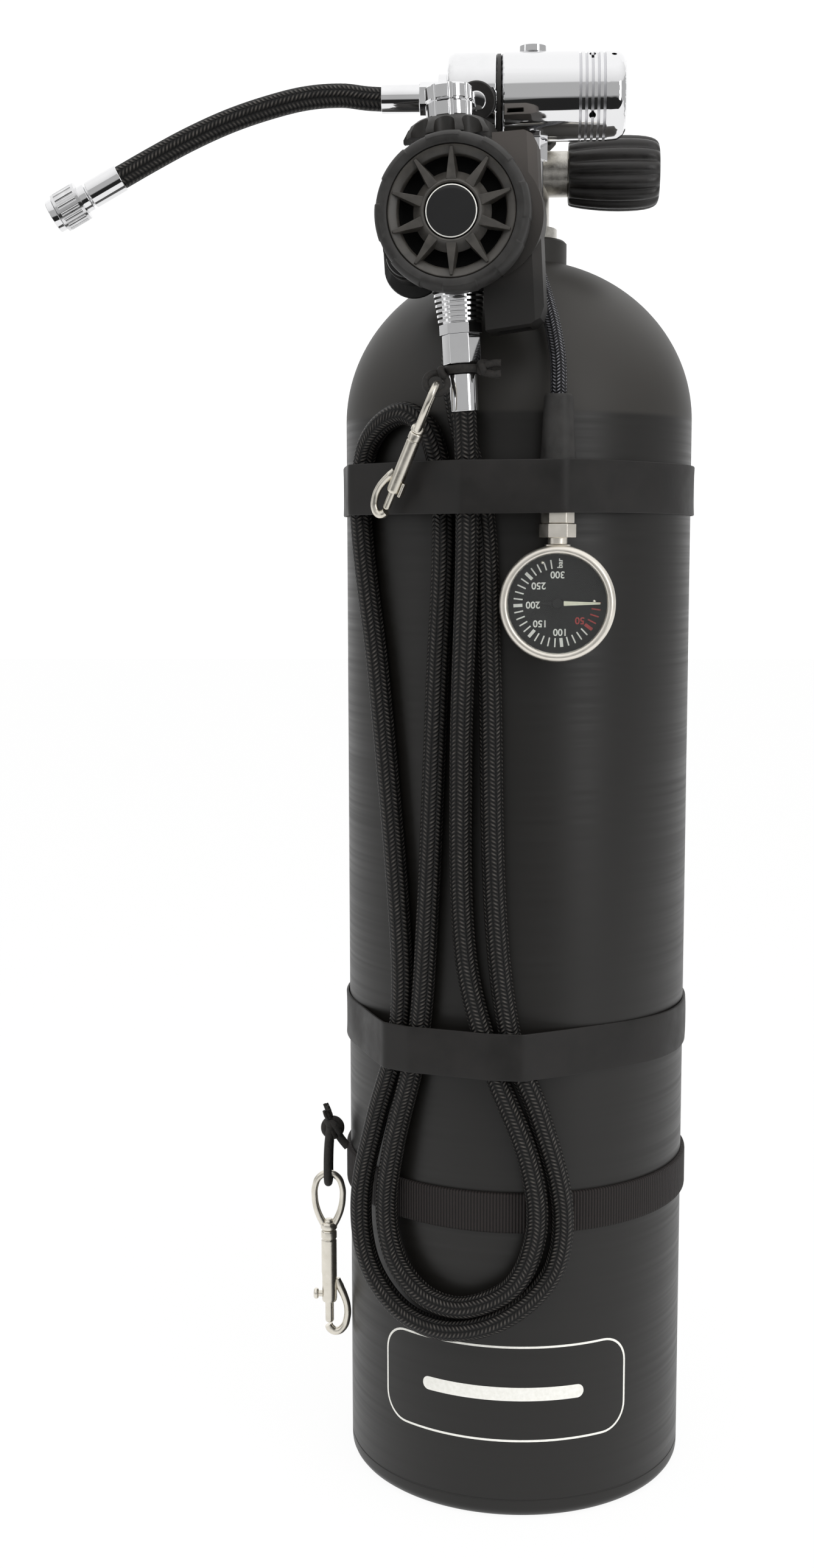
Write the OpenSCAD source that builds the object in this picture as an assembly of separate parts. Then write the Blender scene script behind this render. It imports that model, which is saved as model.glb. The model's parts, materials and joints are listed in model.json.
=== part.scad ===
// Stage air pack: an air cylinder with its valve, a first stage, a second
// stage on a long stowed hose, a pressure gauge, a short inflator hose with
// a quick coupling, two rubber bands, a webbing strap and two bolt snaps.
// The frame stands on the floor: origin at the middle of the base, +Z up the
// cylinder, -Y to the side that shows the gauge. All sizes in millimetres.

/* [Air cylinder] */
// Outside diameter of the cylinder
cylinder_d = 176; // [170:1:182]
// Height where the straight wall ends and the shoulder begins
shoulder_z = 548; // [542:1:554]
// Height of the domed shoulder
dome_h = 81; // [78:1:84]
// Wall thickness
wall_t = 11; // [9:0.5:13]
// Outside diameter of the neck
neck_d = 48; // [45:1:51]
// Diameter of the threaded neck bore
neck_bore_d = 25; // [24:0.5:26]

/* [Valve] */
// Diameter of the arm that carries the hand knob
arm_d = 22.4; // [21:0.2:24]
// Greatest diameter of the hand knob
knob_d = 36.8; // [35:0.2:39]
// Length of the hand knob
knob_len = 46; // [44:1:50]
// Number of grip flutes round the knob
knob_flutes = 14; // [10:1:16]
// Diameter of the hand wheel of the screwed outlet joint
wheel_d = 46; // [43:1:48]

/* [First stage] */
// Diameter of the chrome body
first_d = 40.4; // [39.4:0.2:41.4]
// Length of the body from the swivel joint to its right end
first_len = 58; // [56:1:62]
// Length of the swivelling left part
turret_len = 23.4; // [22.4:0.2:25]
// Number of grooves on the right half
groove_count = 5; // [3:1:5]

/* [Second stage] */
// Outside diameter of the front ring
front_d = 69.2; // [68.2:0.2:70.6]
// Diameter of the purge button
button_d = 24; // [23:0.2:24.6]
// Number of spokes in the front grille
spoke_count = 10; // [6:1:12]
// Turn of the second stage about its upright barrel, in degrees
stage_twist = 6; // [4:1:8]
// Lean of the barrel to the left, in degrees
stage_lean = 3; // [2:0.5:4]

/* [Hoses] */
// Outside diameter of the braided low-pressure hoses
hose_d = 11; // [10.4:0.2:11.4]
// Outside diameter of the high-pressure gauge hose
gauge_hose_d = 7.5; // [7:0.25:8]

/* [Gauge] */
// Outside diameter of the gauge
gauge_d = 54; // [52:1:56]
// Height of the middle of the dial
gauge_z = 459; // [455:1:460]

/* [Bands and strap] */
// Height of the upper rubber band's middle
upper_band_z = 513; // [511:1:515]
// Height of the lower rubber band's middle
lower_band_z = 241; // [236:1:246]
// Height of the webbing strap's middle
strap_z = 160; // [156:1:164]
// Width of the webbing
strap_w = 20; // [18:1:24]

/* [Bolt snaps] */
// Size of the snap on the strap, 1 is 95 mm long
lower_snap_size = 1; // [0.9:0.05:1.05]
// Size of the snap on the second stage's hose
upper_snap_size = 0.78; // [0.74:0.02:0.8]

/* [Hidden] */
$fn = 64;

tank_r = cylinder_d / 2;
inner_r = tank_r - wall_t;
neck_r = neck_d / 2;
neck_top = shoulder_z + dome_h + 9;
knob_z = neck_top + 33.5;
outlet_z = neck_top + 57;
outlet_y = -27;
arm_end = 24;

first_y = -63;
first_r = first_d / 2;
gap_x = -10.6;
body_x = gap_x + 1.9;
body_end = body_x + first_len;
turret_x = gap_x - turret_len;
port_x = -20;
plug_x = 6;
plug_dip = 16;
plug_proud = 2.2;
gauge_port_x = 6;
seat_drop = 0.8;
spigot_d = 29.4;
spigot_gap = 0.7;
fitting_drop = first_r - seat_drop;
ferrule_len = 24;
top_ferrule_z = outlet_z - fitting_drop - 10 - ferrule_len;

front_r = front_d / 2;
button_r = button_d / 2;
adjuster_r = 10.8;
plug_clear = 2;
stage_x = -29.2;
stage_y = -max(tank_r + 13, first_r - first_y + plug_proud + adjuster_r + plug_clear);
stage_z = outlet_z - 62.2;
case_x = 1.8;
mouth_x = -26;
collar_foot = front_r + 0.5;
collar_top = collar_foot + 8.3;
tee_side = case_x + front_r + 3;
tee_top = front_r + 0.1;
exhaust_d = 15;
exhaust_y = 1;

wall_lie = tank_r + hose_d / 2;
top_shift = stage_z - 632.8;
stem_x = 18.5;
stem_y = -(tank_r + 10);
protector_top = upper_band_z + 42;
protector_foot = upper_band_z - 1;
hex_foot = gauge_z + 37;
stem_screw_d = 5;
stem_foot = gauge_z + gauge_d / 2 + 0.3;

coupler_x = -190;
coupler_z = outlet_z - 34;
coupler_dip = 151.4;

snap_x = -(tank_r + 11.5);
snap_y = -12;
snap_z = strap_z - 38.5;
small_snap = [stage_x - 17.5, stage_y, 537.8];
small_turn = [20, 24, 0];

band_t = 1.5;
upper_band_w = 24.5;
lower_band_w = 23;

// Long hose: angle from the front in degrees, height, and how far the hose
// is lifted off the cylinder wall, from the first stage to the second stage
long_route = [
    [-19, 603, -16],
    [-20, 572, -4],
    [-17, 545, 0],
    [-10, 500, 0],
    [-8, 430, 0],
    [-6, 310, 0],
    [-1, 246, 0],
    [7, 212, 1],
    [14, 165, 2.6],
    [11, 132, 2.6],
    [-3, 109, 2.6],
    [-20, 100, 2.6],
    [-36, 105, 3],
    [-48, 125, 5.5],
    [-51, 158, 6.5],
    [-46, 202, 2.5],
    [-38, 246, 0],
    [-37, 290, 0],
    [-46, 420, 0],
    [-55, 500, 0],
    [-52, 531, 0],
    [-44, 544, 0],
    [-34, 548, 0],
    [-26, 537, 0],
    [-22, 505, 0],
    [-24, 420, 0],
    [-28, 290, 0],
    [-31, 243, 0],
    [-39, 190, 2],
    [-42, 155, 2.6],
    [-38, 130, 2.6],
    [-27, 115, 2.6],
    [-14, 113, 2.6],
    [0, 126, 2.6],
    [6.5, 155, 2.6],
    [4, 190, 2],
    [-7, 237, 0],
    [-15, 290, 0],
    [-16, 380, 2.5],
    [-13.5, 476, 8],
    [-13, 515, 11]
];
// Gauge hose between its two fittings
gauge_route = [
    [6.3, -64, 630],
    [7.5, -68.5, 618],
    [11.2, -76, 605],
    [15.6, -85.5, 588],
    [18.2, -94, 571]
];
// Inflator hose to the left
inflator_route = [
    [-84, -63, 697],
    [-101, -63, 696],
    [-119, -63, 692],
    [-138, -63, 686],
    [-157, -63, 678],
    [-175, -63, 669]
];

function upper_lift(z) = top_shift * min(1, max(0, (z - 300) / 240));
function on_wall(p) = let (r = wall_lie + p[2])
    [r * sin(p[0]), -r * cos(p[0]), p[1] + upper_lift(p[1])];
function lean_point(p) = let (
        a = [p[0] * cos(stage_twist) + p[1] * sin(stage_twist),
             p[1] * cos(stage_twist) - p[0] * sin(stage_twist), p[2]])
    [stage_x + a[0] * cos(stage_lean) - a[2] * sin(stage_lean), stage_y + a[1],
     stage_z + a[2] * cos(stage_lean) + a[0] * sin(stage_lean)];
function raised(p) = [p[0], p[1], p[2] + top_shift];

long_points = concat([[port_x, first_y, top_ferrule_z], [port_x - 1, first_y - 3, top_ferrule_z - 17]],
    [for (p = long_route) on_wall(p)], [lean_point([0, 0, -92]), lean_point([0, 0, -86])]);
gauge_points = concat([[gauge_port_x, first_y, top_ferrule_z]], [for (p = gauge_route) raised(p)],
    [[stem_x, stem_y, protector_top], [stem_x, stem_y, protector_foot]]);
inflator_points = concat([[turret_x - 31, first_y, outlet_z], [turret_x - 38, first_y, outlet_z + 0.5]],
    [for (p = inflator_route) raised(p)], [[coupler_x, first_y, coupler_z]]);

// A smooth line through points, then a tube of flat sides along it
function slope(p, i) = let (a = max(0, i - 1), b = min(len(p) - 1, i + 1))
    (p[b] - p[a]) / (norm(p[min(len(p) - 1, i + 1)] - p[i]) + norm(p[i] - p[a]));
function between(a, b, ma, mb, t) = (2 * pow(t, 3) - 3 * pow(t, 2) + 1) * a
    + (pow(t, 3) - 2 * pow(t, 2) + t) * ma + (3 * pow(t, 2) - 2 * pow(t, 3)) * b
    + (pow(t, 3) - pow(t, 2)) * mb;
function turn_of(a, b) = acos(max(-1, min(1, a * b / (norm(a) * norm(b)))));
function steps(p, i) = max(1, ceil(turn_of(slope(p, i), slope(p, i + 1)) / 24));
function smooth(p) = concat([for (i = [0 : len(p) - 2]) let (n = steps(p, i), d = norm(p[i + 1] - p[i]))
    for (k = [0 : n - 1]) between(p[i], p[i + 1], slope(p, i) * d, slope(p, i + 1) * d, k / n)],
    [p[len(p) - 1]]);
function unit(v) = v / norm(v);
function ring_at(p, i, r, sides, side) = let (
        t = unit(p[min(len(p) - 1, i + 1)] - p[max(0, i - 1)]),
        u = unit(cross(t, side == [0, 0, 0] ? [p[i][0], p[i][1], 0] : side)),
        v = cross(u, t))
    [for (k = [0 : sides - 1]) p[i] + r * (cos(360 * k / sides) * u + sin(360 * k / sides) * v)];

module tube_along(line, d, side, sides = 10) {
    p = smooth(line);
    n = len(p);
    rings = [for (i = [0 : n - 1]) for (q = ring_at(p, i, d / 2, sides, side)) q];
    walls = [for (i = [0 : n - 2]) for (k = [0 : sides - 1])
        [i * sides + k, (i + 1) * sides + k, (i + 1) * sides + (k + 1) % sides, i * sides + (k + 1) % sides]];
    first_cap = [[for (k = [0 : sides - 1]) k]];
    last_cap = [[for (k = [sides - 1 : -1 : 0]) (n - 1) * sides + k]];
    polyhedron(points = rings, faces = concat(walls, first_cap, last_cap), convexity = 10);
}

module rod_x(d, x0, x1) translate([x0, 0, 0]) rotate([0, 90, 0]) cylinder(d = d, h = x1 - x0);
module rod_y(d, y0, y1) translate([0, y1, 0]) rotate([90, 0, 0]) cylinder(d = d, h = y1 - y0);
module rod_z(d, z0, z1) translate([0, 0, z0]) cylinder(d = d, h = z1 - z0);
module hex_x(flats, x0, x1) translate([x0, 0, 0]) rotate([0, 90, 0])
    cylinder(d = flats / cos(30), h = x1 - x0, $fn = 6);
module hex_y(flats, y0, y1) translate([0, y1, 0]) rotate([90, 0, 0])
    cylinder(d = flats / cos(30), h = y1 - y0, $fn = 6);
module hex_z(flats, z0, z1) translate([0, 0, z0]) cylinder(d = flats / cos(30), h = z1 - z0, $fn = 6);
module ring(big_r, small_r) rotate_extrude() translate([big_r, 0]) circle(r = small_r, $fn = 24);
module turned_x(profile) rotate([0, 90, 0]) rotate_extrude() polygon(profile);
module turned_y(profile) rotate([-90, 0, 0]) rotate_extrude() polygon(profile);
module slot_2d(r, half) {
    translate([0, half]) circle(r = r);
    translate([0, -half]) circle(r = r);
    square([2 * r, 2 * half], center = true);
}
module slot_y(r, half, y0, y1) translate([0, y1, 0]) rotate([90, 0, 0])
    linear_extrude(y1 - y0) slot_2d(r, half);

module at_first() translate([0, first_y, outlet_z]) children();
module at_stage() translate([stage_x, stage_y, stage_z])
    rotate([0, -stage_lean, 0]) rotate([0, 0, -stage_twist]) children();
module at_front() at_stage() translate([case_x, 0, 0]) children();
module at_gauge() translate([stem_x, stem_y, gauge_z]) children();
module at_coupler() translate([coupler_x, first_y, coupler_z]) rotate([0, coupler_dip, 0]) children();
module at_lower_snap() translate([snap_x, snap_y, snap_z]) scale(lower_snap_size) children();
module at_upper_snap() translate(raised(small_snap)) rotate(small_turn) scale(upper_snap_size) children();

// Air cylinder
module cylinder_shell() {
    edge = 6;
    top_turn = acos(neck_r / tank_r);
    inner_top = acos(neck_bore_d / 2 / inner_r);
    outside = concat([[0, 0], [tank_r - edge, 0]],
        [for (a = [-72 : 18 : 0]) [tank_r - edge + edge * cos(a), edge + edge * sin(a)]],
        [for (i = [0 : 14]) [tank_r * cos(top_turn * i / 14), shoulder_z + dome_h * sin(top_turn * i / 14)]],
        [[neck_r, neck_top], [0, neck_top]]);
    inside = concat([[0, 16], [inner_r - 14, 16], [inner_r, 30]],
        [for (i = [0 : 12]) [inner_r * cos(inner_top * i / 12),
            shoulder_z + (dome_h - wall_t) * sin(inner_top * i / 12)]],
        [[0, shoulder_z + (dome_h - wall_t) * sin(inner_top)]]);
    difference() {
        rotate_extrude($fn = 128) polygon(outside);
        rotate_extrude($fn = 96) polygon(inside);
        rod_z(neck_bore_d, shoulder_z, neck_top + 1);
        translate([0, 0, neck_top]) ring(neck_bore_d / 2 + 1.9, 1.75);
    }
}
module neck_oring() translate([0, 0, neck_top]) ring(neck_bore_d / 2 + 1.9, 1.7);

// Valve
module valve_body() {
    column_d = 30;
    difference() {
        union() {
            rod_z(neck_bore_d - 0.1, neck_top - 26, neck_top + 1);
            rod_z(38, neck_top, neck_top + 6);
            rod_z(column_d, neck_top + 5, outlet_z + 12);
            translate([0, 0, outlet_z + 12]) cylinder(d1 = column_d, d2 = column_d - 8, h = 4);
            translate([0, 0, knob_z]) rod_x(arm_d, 0, arm_end);
            translate([0, 0, outlet_z]) rod_y(38, outlet_y, 0);
        }
        translate([0, 0, neck_top]) ring(neck_bore_d / 2 + 1.9, 1.75);
        rod_z(8, neck_top - 27, neck_top - 12);
        rod_z(6, neck_top - 13, knob_z - 13);
        translate([0, 0, knob_z - 14]) rod_x(5, -10, 0);
        translate([-10, 0, knob_z - 14]) rod_z(5, 0, 14);
        translate([0, 0, knob_z]) rod_x(5, -10, -5);
        translate([0, 0, knob_z]) rod_x(12, -6, arm_end + 1);
        translate([3, 0, knob_z]) rod_z(5, 0, outlet_z - knob_z);
        translate([0, 0, outlet_z]) rod_y(8, outlet_y + 14, 2);
        translate([0, 0, outlet_z]) rod_y(23, outlet_y - 1, outlet_y + 17);
    }
}
module dip_tube() {
    difference() {
        rod_z(8, neck_top - 78, neck_top - 12);
        rod_z(6, neck_top - 79, neck_top - 11);
    }
}
module valve_bonnet() {
    translate([0, 0, knob_z]) difference() {
        union() {
            rod_x(11.9, arm_end - 10, arm_end);
            hex_x(20, arm_end, arm_end + 7);
        }
        rod_x(8.1, arm_end - 11, arm_end + 8);
    }
}
module seat_plug() translate([0, 0, knob_z]) rod_x(11.8, -5.9, 2);
module valve_spindle() translate([0, 0, knob_z]) rod_x(8, 6, arm_end + knob_len - 6);
module valve_knob() {
    r = knob_d / 2;
    end = arm_end + knob_len;
    profile = [[13, arm_end + 0.3], [r - 3.2, arm_end + 0.3], [r - 1.6, arm_end + 7], [r - 0.5, arm_end + 16],
        [r, arm_end + 28], [r - 0.4, end - 8], [r - 1.9, end - 2.5], [r - 5, end], [7, end], [7, end - 6],
        [4.1, end - 6], [4.1, arm_end + 9], [13, arm_end + 9]];
    translate([0, 0, knob_z]) difference() {
        turned_x(profile);
        for (k = [0 : knob_flutes - 1]) rotate([360 * k / knob_flutes, 0, 0])
            translate([0, r + 1.2, 0]) rod_x(5.2, arm_end - 1, end + 1);
    }
}
module knob_nut() {
    translate([0, 0, knob_z]) difference() {
        hex_x(11, arm_end + knob_len - 6, arm_end + knob_len - 1);
        rod_x(4, arm_end + knob_len - 3, arm_end + knob_len);
    }
}

// Screwed joint between the valve and the first stage
module joint_wheel() {
    translate([0, 0, outlet_z]) difference() {
        rod_y(wheel_d, first_y + 21.2, outlet_y - 0.6);
        rod_y(23, first_y + 20, outlet_y + 1);
        for (k = [0 : 11]) rotate([0, 30 * k, 0]) translate([wheel_d / 2 + 1.5, 0, 0])
            rod_y(8, first_y + 20, outlet_y + 1);
    }
}
module joint_screw() {
    translate([0, 0, outlet_z]) difference() {
        rod_y(22.8, first_y + 20.4, outlet_y + 15.4);
        rod_y(6, first_y + 19, outlet_y + 16);
        translate([0, outlet_y + 15.4, 0]) rotate([90, 0, 0]) ring(8, 1.55);
    }
}
module joint_oring() translate([0, outlet_y + 15.4, outlet_z]) rotate([90, 0, 0]) ring(8, 1.5);

// First stage
module first_stage_body() {
    profile = [[0, body_x], [first_r - 1.7, body_x], [first_r, body_x + 1.7], [first_r, body_end - 9],
        [first_r - 0.4, body_end - 4], [first_r - 1.6, body_end - 1.5], [first_r - 4, body_end],
        [0, body_end]];
    groove_x = body_end - 22;
    at_first() difference() {
        union() {
            turned_x(profile);
            rod_y(17, 6, 20.4);
            rod_x(spigot_d, turret_x + 6, body_x + 1);
        }
        rod_x(24, body_x + 7, body_end - 5);
        rod_x(14, turret_x + 5, body_x + 8);
        rod_y(6, 0, 21);
        for (k = [0 : groove_count - 1]) rotate([0, 90, 0]) translate([0, 0, groove_x + 2.8 * k])
            rotate_extrude() translate([first_r - 1.2, 0]) square([3, 1.3]);
        for (k = [0 : 3]) rotate([90 * k + 37, 0, 0]) translate([groove_x + 6.2, 0, 0])
            rod_z(3.2, 8, first_r + 2);
        rotate([37, 0, 0]) translate([body_end - 5.8, 0, 0]) rod_z(2.4, 12, first_r + 2);
        translate([plug_x, 0, 0]) rod_z(14.6, first_r - seat_drop, first_r + 4);
        translate([plug_x, 0, 0]) rod_z(9, 6, first_r + 4);
        translate([gauge_port_x, 0, 0]) rod_z(15, -first_r - 4, -fitting_drop);
        translate([gauge_port_x, 0, 0]) rod_z(9, -first_r - 4, -6);
    }
}
module first_stage_turret() {
    profile = [[0, turret_x], [first_r - 4, turret_x], [first_r - 1.2, turret_x + 1.2],
        [first_r, turret_x + 4], [first_r, gap_x - 1], [first_r - 1, gap_x], [0, gap_x]];
    at_first() difference() {
        union() {
            turned_x(profile);
            rod_x(22, turret_x - 4, turret_x + 1);
        }
        rod_x(spigot_d + spigot_gap, turret_x + 5.5, gap_x + 1);
        rod_x(10, turret_x - 5, turret_x + 6);
        translate([port_x, 0, 0]) rod_z(16, -first_r - 4, -fitting_drop);
        translate([port_x, 0, 0]) rod_z(10, -first_r - 4, -14);
        translate([port_x, 0, 0]) rotate([plug_dip, 0, 0]) rod_y(19, -first_r - 4, -fitting_drop);
        translate([port_x, 0, 0]) rotate([plug_dip, 0, 0]) rod_y(10, -first_r - 4, -14);
    }
}
module turret_seal() {
    at_first() difference() {
        rod_x(first_d - 1.8, gap_x + 0.1, body_x - 0.1);
        rod_x(spigot_d + spigot_gap, gap_x - 1, body_x + 1);
    }
}
module high_pressure_plug() {
    at_first() translate([plug_x, 0, 0]) difference() {
        union() {
            rod_z(13, first_r - seat_drop, first_r + 2.6);
            rod_z(8.9, first_r - 8, first_r);
        }
        hex_z(5, first_r - 1, first_r + 3);
    }
}
module low_pressure_plug() {
    at_first() translate([port_x, 0, 0]) rotate([plug_dip, 0, 0]) difference() {
        union() {
            rod_y(17.6, -first_r - plug_proud, -fitting_drop);
            rod_y(9.9, -first_r, -first_r + 4);
        }
        hex_y(5, -first_r - 3, -first_r + 1);
    }
}

// Fittings at the ends of the hoses
module long_hose_fitting() {
    at_first() translate([port_x, 0, 0]) {
        rod_z(9.9, -fitting_drop - 1, -first_r + 5);
        hex_z(13.5, -fitting_drop - 10, -fitting_drop);
        rod_z(13, -fitting_drop - 10 - ferrule_len, -fitting_drop - 10);
    }
}
module gauge_hose_fitting() {
    at_first() translate([gauge_port_x, 0, 0]) {
        rod_z(8.9, -fitting_drop - 1, -first_r + 5);
        hex_z(12.5, -fitting_drop - 10, -fitting_drop);
        rod_z(10.4, -fitting_drop - 10 - ferrule_len, -fitting_drop - 10);
    }
}
module inflator_hose_fitting() {
    at_first() {
        rod_x(9.9, turret_x - 5, turret_x + 3);
        hex_x(13.5, turret_x - 13, turret_x - 4);
        rod_x(13, turret_x - 31, turret_x - 13);
    }
}
module stage_hose_fitting() {
    at_stage() {
        hex_z(15.4, -64.5, -51);
        rod_z(9, -69, -64.5);
        rod_z(13, -86, -69);
    }
}
module long_hose() tube_along(long_points, hose_d, [0, 0, 0]);
module gauge_hose() tube_along(gauge_points, gauge_hose_d, [1, 0, 0]);
module inflator_hose() tube_along(inflator_points, hose_d, [0, 1, 0]);

// Second stage
module stage_case() {
    outside = [[0, 21], [24, 21], [front_r - 3.8, 8], [front_r - 3.8, -12], [front_r - 1.3, -13],
        [front_r - 1.3, -17.5], [0, -17.5]];
    inside = [[0, 18.5], [22.5, 18.5], [front_r - 6.3, 7], [front_r - 6.3, -18], [0, -18]];
    at_stage() difference() {
        union() {
            translate([case_x, 0, 0]) turned_y(outside);
            rod_z(24, -31.8, -24);
            rod_z(25, 24, collar_foot - 0.3);
            translate([mouth_x, 0, 0]) slot_y(8, 10, 0, 34);
            translate([case_x, exhaust_y, 0]) rod_x(exhaust_d + 2.4, 24, front_r - 3.7);
        }
        translate([case_x, 0, 0]) turned_y(inside);
        rod_z(18.1, -33, 40);
        translate([mouth_x, 0, 0]) slot_y(6.2, 10, 14, 35);
        translate([mouth_x + 8, 0, 0]) slot_y(6.2, 10, 4, 16);
        translate([case_x, exhaust_y, 0]) rod_x(exhaust_d - 2.4, 20, front_r);
    }
}
module stage_barrel() {
    at_stage() difference() {
        union() {
            rod_z(18, -32, collar_top + 0.1);
            rod_z(16, -47, -31);
            for (k = [0 : 5]) translate([0, 0, -34.2 - 2.3 * k]) cylinder(d = 23 - 0.5 * k, h = 1.3);
            hex_z(17, -51, -46.4);
        }
        rod_z(12, -14.2, collar_top + 1);
        rod_z(6, -52, -14);
        translate([-4.5, -10, 13.5]) cube([9, 7, 9]);
    }
}
module demand_poppet() {
    at_stage() {
        rod_z(11.8, -14, 10);
        rod_z(5, 10, 26);
    }
}
module demand_lever() {
    at_stage() {
        translate([0, -11.2, 18]) rod_x(2.4, -4, 4);
        translate([0, -11.2, 18]) rotate([-15, 0, 0]) translate([-3, -0.6, -18]) cube([6, 1.2, 18]);
        translate([0, -11.2, 18]) rotate([-15, 0, 0]) translate([-3, -0.6, -20]) cube([12, 1.2, 4]);
        translate([-3, -11.2, 17.2]) cube([6, 4, 1.6]);
    }
}
module diaphragm() {
    at_front() {
        rod_y(2 * (front_r - 4.8), -18.3, -17.5);
        rod_y(24, -18.8, -18);
    }
}
module front_grille() {
    rim = front_r - 4.8;
    at_front() difference() {
        union() {
            difference() {
                rod_y(2 * rim, -22, -18.4);
                rod_y(2 * (rim - 6), -23, -18);
            }
            rod_y(2 * (button_r + 2.2), -26, -20.5);
            for (k = [0 : spoke_count - 1]) rotate([0, 360 * k / spoke_count, 0])
                translate([button_r + 1.5, -24, -2.4]) cube([rim - button_r - 4, 3.6, 4.8]);
        }
        rod_y(button_d + 0.2, -27, -18);
    }
}
module front_ring() {
    r = front_r;
    at_front() turned_y([[r - 5.7, -26.5], [r - 1.8, -26.5], [r, -24.5], [r, -13], [r - 1.2, -13],
        [r - 1.2, -18.35], [r - 4.7, -18.35], [r - 4.7, -22.1], [r - 5.7, -22.1]]);
}
module purge_button() {
    at_front() {
        rod_y(button_d, -25.4, -20);
        rod_y(button_d + 2.4, -20.4, -19.6);
        rod_y(10, -20, -19);
    }
}
module adjuster_knob() {
    foot = collar_top + 0.7;
    middle = foot + 7.4;
    top = foot + 14.6;
    at_stage() {
        rod_z(11.9, 33, foot + 1);
        difference() {
            rotate_extrude() polygon([[0, foot], [adjuster_r - 0.7, foot], [adjuster_r, foot + 0.8],
                [adjuster_r, middle - 0.9], [adjuster_r - 1.1, middle], [adjuster_r, middle + 0.9],
                [adjuster_r, top - 0.9], [adjuster_r - 0.9, top], [0, top]]);
            for (k = [0 : 7]) rotate([0, 0, 45 * k + 12]) translate([adjuster_r + 0.6, 0, 0])
                rod_z(3, foot - 1, top + 1);
        }
    }
}
module flow_collar() {
    at_stage() difference() {
        rotate_extrude() polygon([[9.1, collar_foot], [21.6, collar_foot], [21.6, collar_foot + 1.6],
            [19.2, collar_foot + 5.6], [15.2, collar_top], [9.1, collar_top]]);
        for (k = [0 : 9]) rotate([0, 0, 36 * k + 18]) translate([21, 0, 0])
            rod_z(9.4, collar_foot - 1, collar_top + 1);
    }
}
module exhaust_valve() {
    at_stage() translate([case_x, exhaust_y, 0]) {
        rod_x(exhaust_d, front_r - 3.6, front_r - 2.7);
        rod_x(4, front_r - 9, front_r - 3.5);
    }
}
module tee_block(inset, front_y, back_y) {
    side = tee_side - inset;
    top = tee_top - inset;
    foot = inset - 51.2;
    intersection() {
        translate([0, back_y, 0]) rotate([90, 0, 0]) linear_extrude(back_y - front_y)
            polygon([[12.8 + inset, foot], [side - 6, foot + 1.6], [side - 1.8, foot + 4], [side, foot + 9],
                [side, top - 5.2], [side - 1.6, top - 1.6], [side - 5.2, top], [20 + inset, top],
                [20 + inset, 0], [12.8 + inset, 0]]);
        translate([0, 0, -60]) linear_extrude(120)
            polygon([[10, front_y], [side - 4, front_y], [side + 1, front_y + 5], [side + 1, back_y - 6],
                [side - 5, back_y], [10, back_y]]);
    }
}
module exhaust_tee() {
    at_stage() difference() {
        union() {
            tee_block(0, -11.5, 15);
            intersection() {
                translate([case_x + 11.4, 0, -1.5]) rod_y(56.6, -12.6, 3);
                translate([22, -20, -40]) cube([30, 40, 80]);
            }
        }
        tee_block(2, -9.5, 13);
        translate([case_x, 0, 0]) rod_y(2 * front_r - 7.4, -20, 30);
        translate([case_x, 0, 0]) rod_y(2 * front_r - 2, -20, -11.7);
        translate([17, 1, -60]) cube([15, 10, 13]);
        translate([24, 1, tee_top - 4.5]) cube([8, 10, 10]);
    }
}
module mouthpiece() {
    at_stage() translate([mouth_x, 0, 0]) difference() {
        union() {
            slot_y(10.5, 10, 22, 43);
            slot_y(13, 14.5, 40, 43);
            translate([-4, 42, 12]) cube([8, 5, 11]);
            translate([-4, 42, -23]) cube([8, 5, 11]);
        }
        slot_y(8.05, 10, 21, 34.2);
        slot_y(6.2, 10, 30, 48);
    }
}
module mouthpiece_tie() {
    at_stage() translate([mouth_x, 0, 0]) difference() {
        slot_y(11.7, 10, 26, 30);
        slot_y(10.55, 10, 25, 31);
    }
}

// Pressure gauge and its hose protector
module hose_protector() {
    translate([stem_x, stem_y, 0]) difference() {
        union() {
            translate([0, 0, protector_foot + 14])
                cylinder(d1 = 16.4, d2 = 13, h = protector_top - protector_foot - 14);
            rod_z(16.4, protector_foot, protector_foot + 14.5);
        }
        rod_z(gauge_hose_d + 0.1, protector_foot - 1, protector_top + 1);
    }
}
module gauge_swivel() {
    translate([stem_x, stem_y, 0]) {
        hex_z(13.6, hex_foot, protector_foot);
        rod_z(6, hex_foot - 5, hex_foot + 1);
    }
}
module gauge_stem() {
    translate([stem_x, stem_y, 0]) difference() {
        union() {
            hex_z(15, hex_foot - 6.5, hex_foot - 0.2);
            rod_z(9, stem_foot, hex_foot - 6);
            rod_z(stem_screw_d, stem_foot - 3, stem_foot + 1);
        }
        rod_z(6.1, hex_foot - 5.5, hex_foot + 1);
    }
}
module gauge_case() {
    r = gauge_d / 2;
    at_gauge() difference() {
        union() {
            turned_y([[0, 8], [r - 5, 8], [r - 1.6, 6], [r - 0.6, 3], [r - 0.6, -3], [0, -3]]);
            difference() {
                rod_z(12, r - 6, r + 0.2);
                translate([-10, -20, r - 7]) cube([20, 17, 10]);
            }
        }
        rod_y(2 * r - 6, -4, 5.5);
        rod_z(stem_screw_d + 0.6, r - 6, r + 1);
    }
}
module gauge_bezel() {
    r = gauge_d / 2;
    at_gauge() turned_y([[r - 4, -8], [r - 1.4, -8], [r, -6.4], [r, -3.1], [r - 3, -3.1], [r - 3, -4],
        [r - 4, -4]]);
}
module gauge_lens() {
    r = gauge_d / 2;
    at_gauge() rod_y(2 * r - 8.1, -6.8, -4.4);
}
module gauge_dial() {
    r = gauge_d / 2;
    at_gauge() difference() {
        rod_y(2 * r - 6.4, 0, 0.8);
        rod_y(2.2, -1, 2);
    }
}
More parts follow.
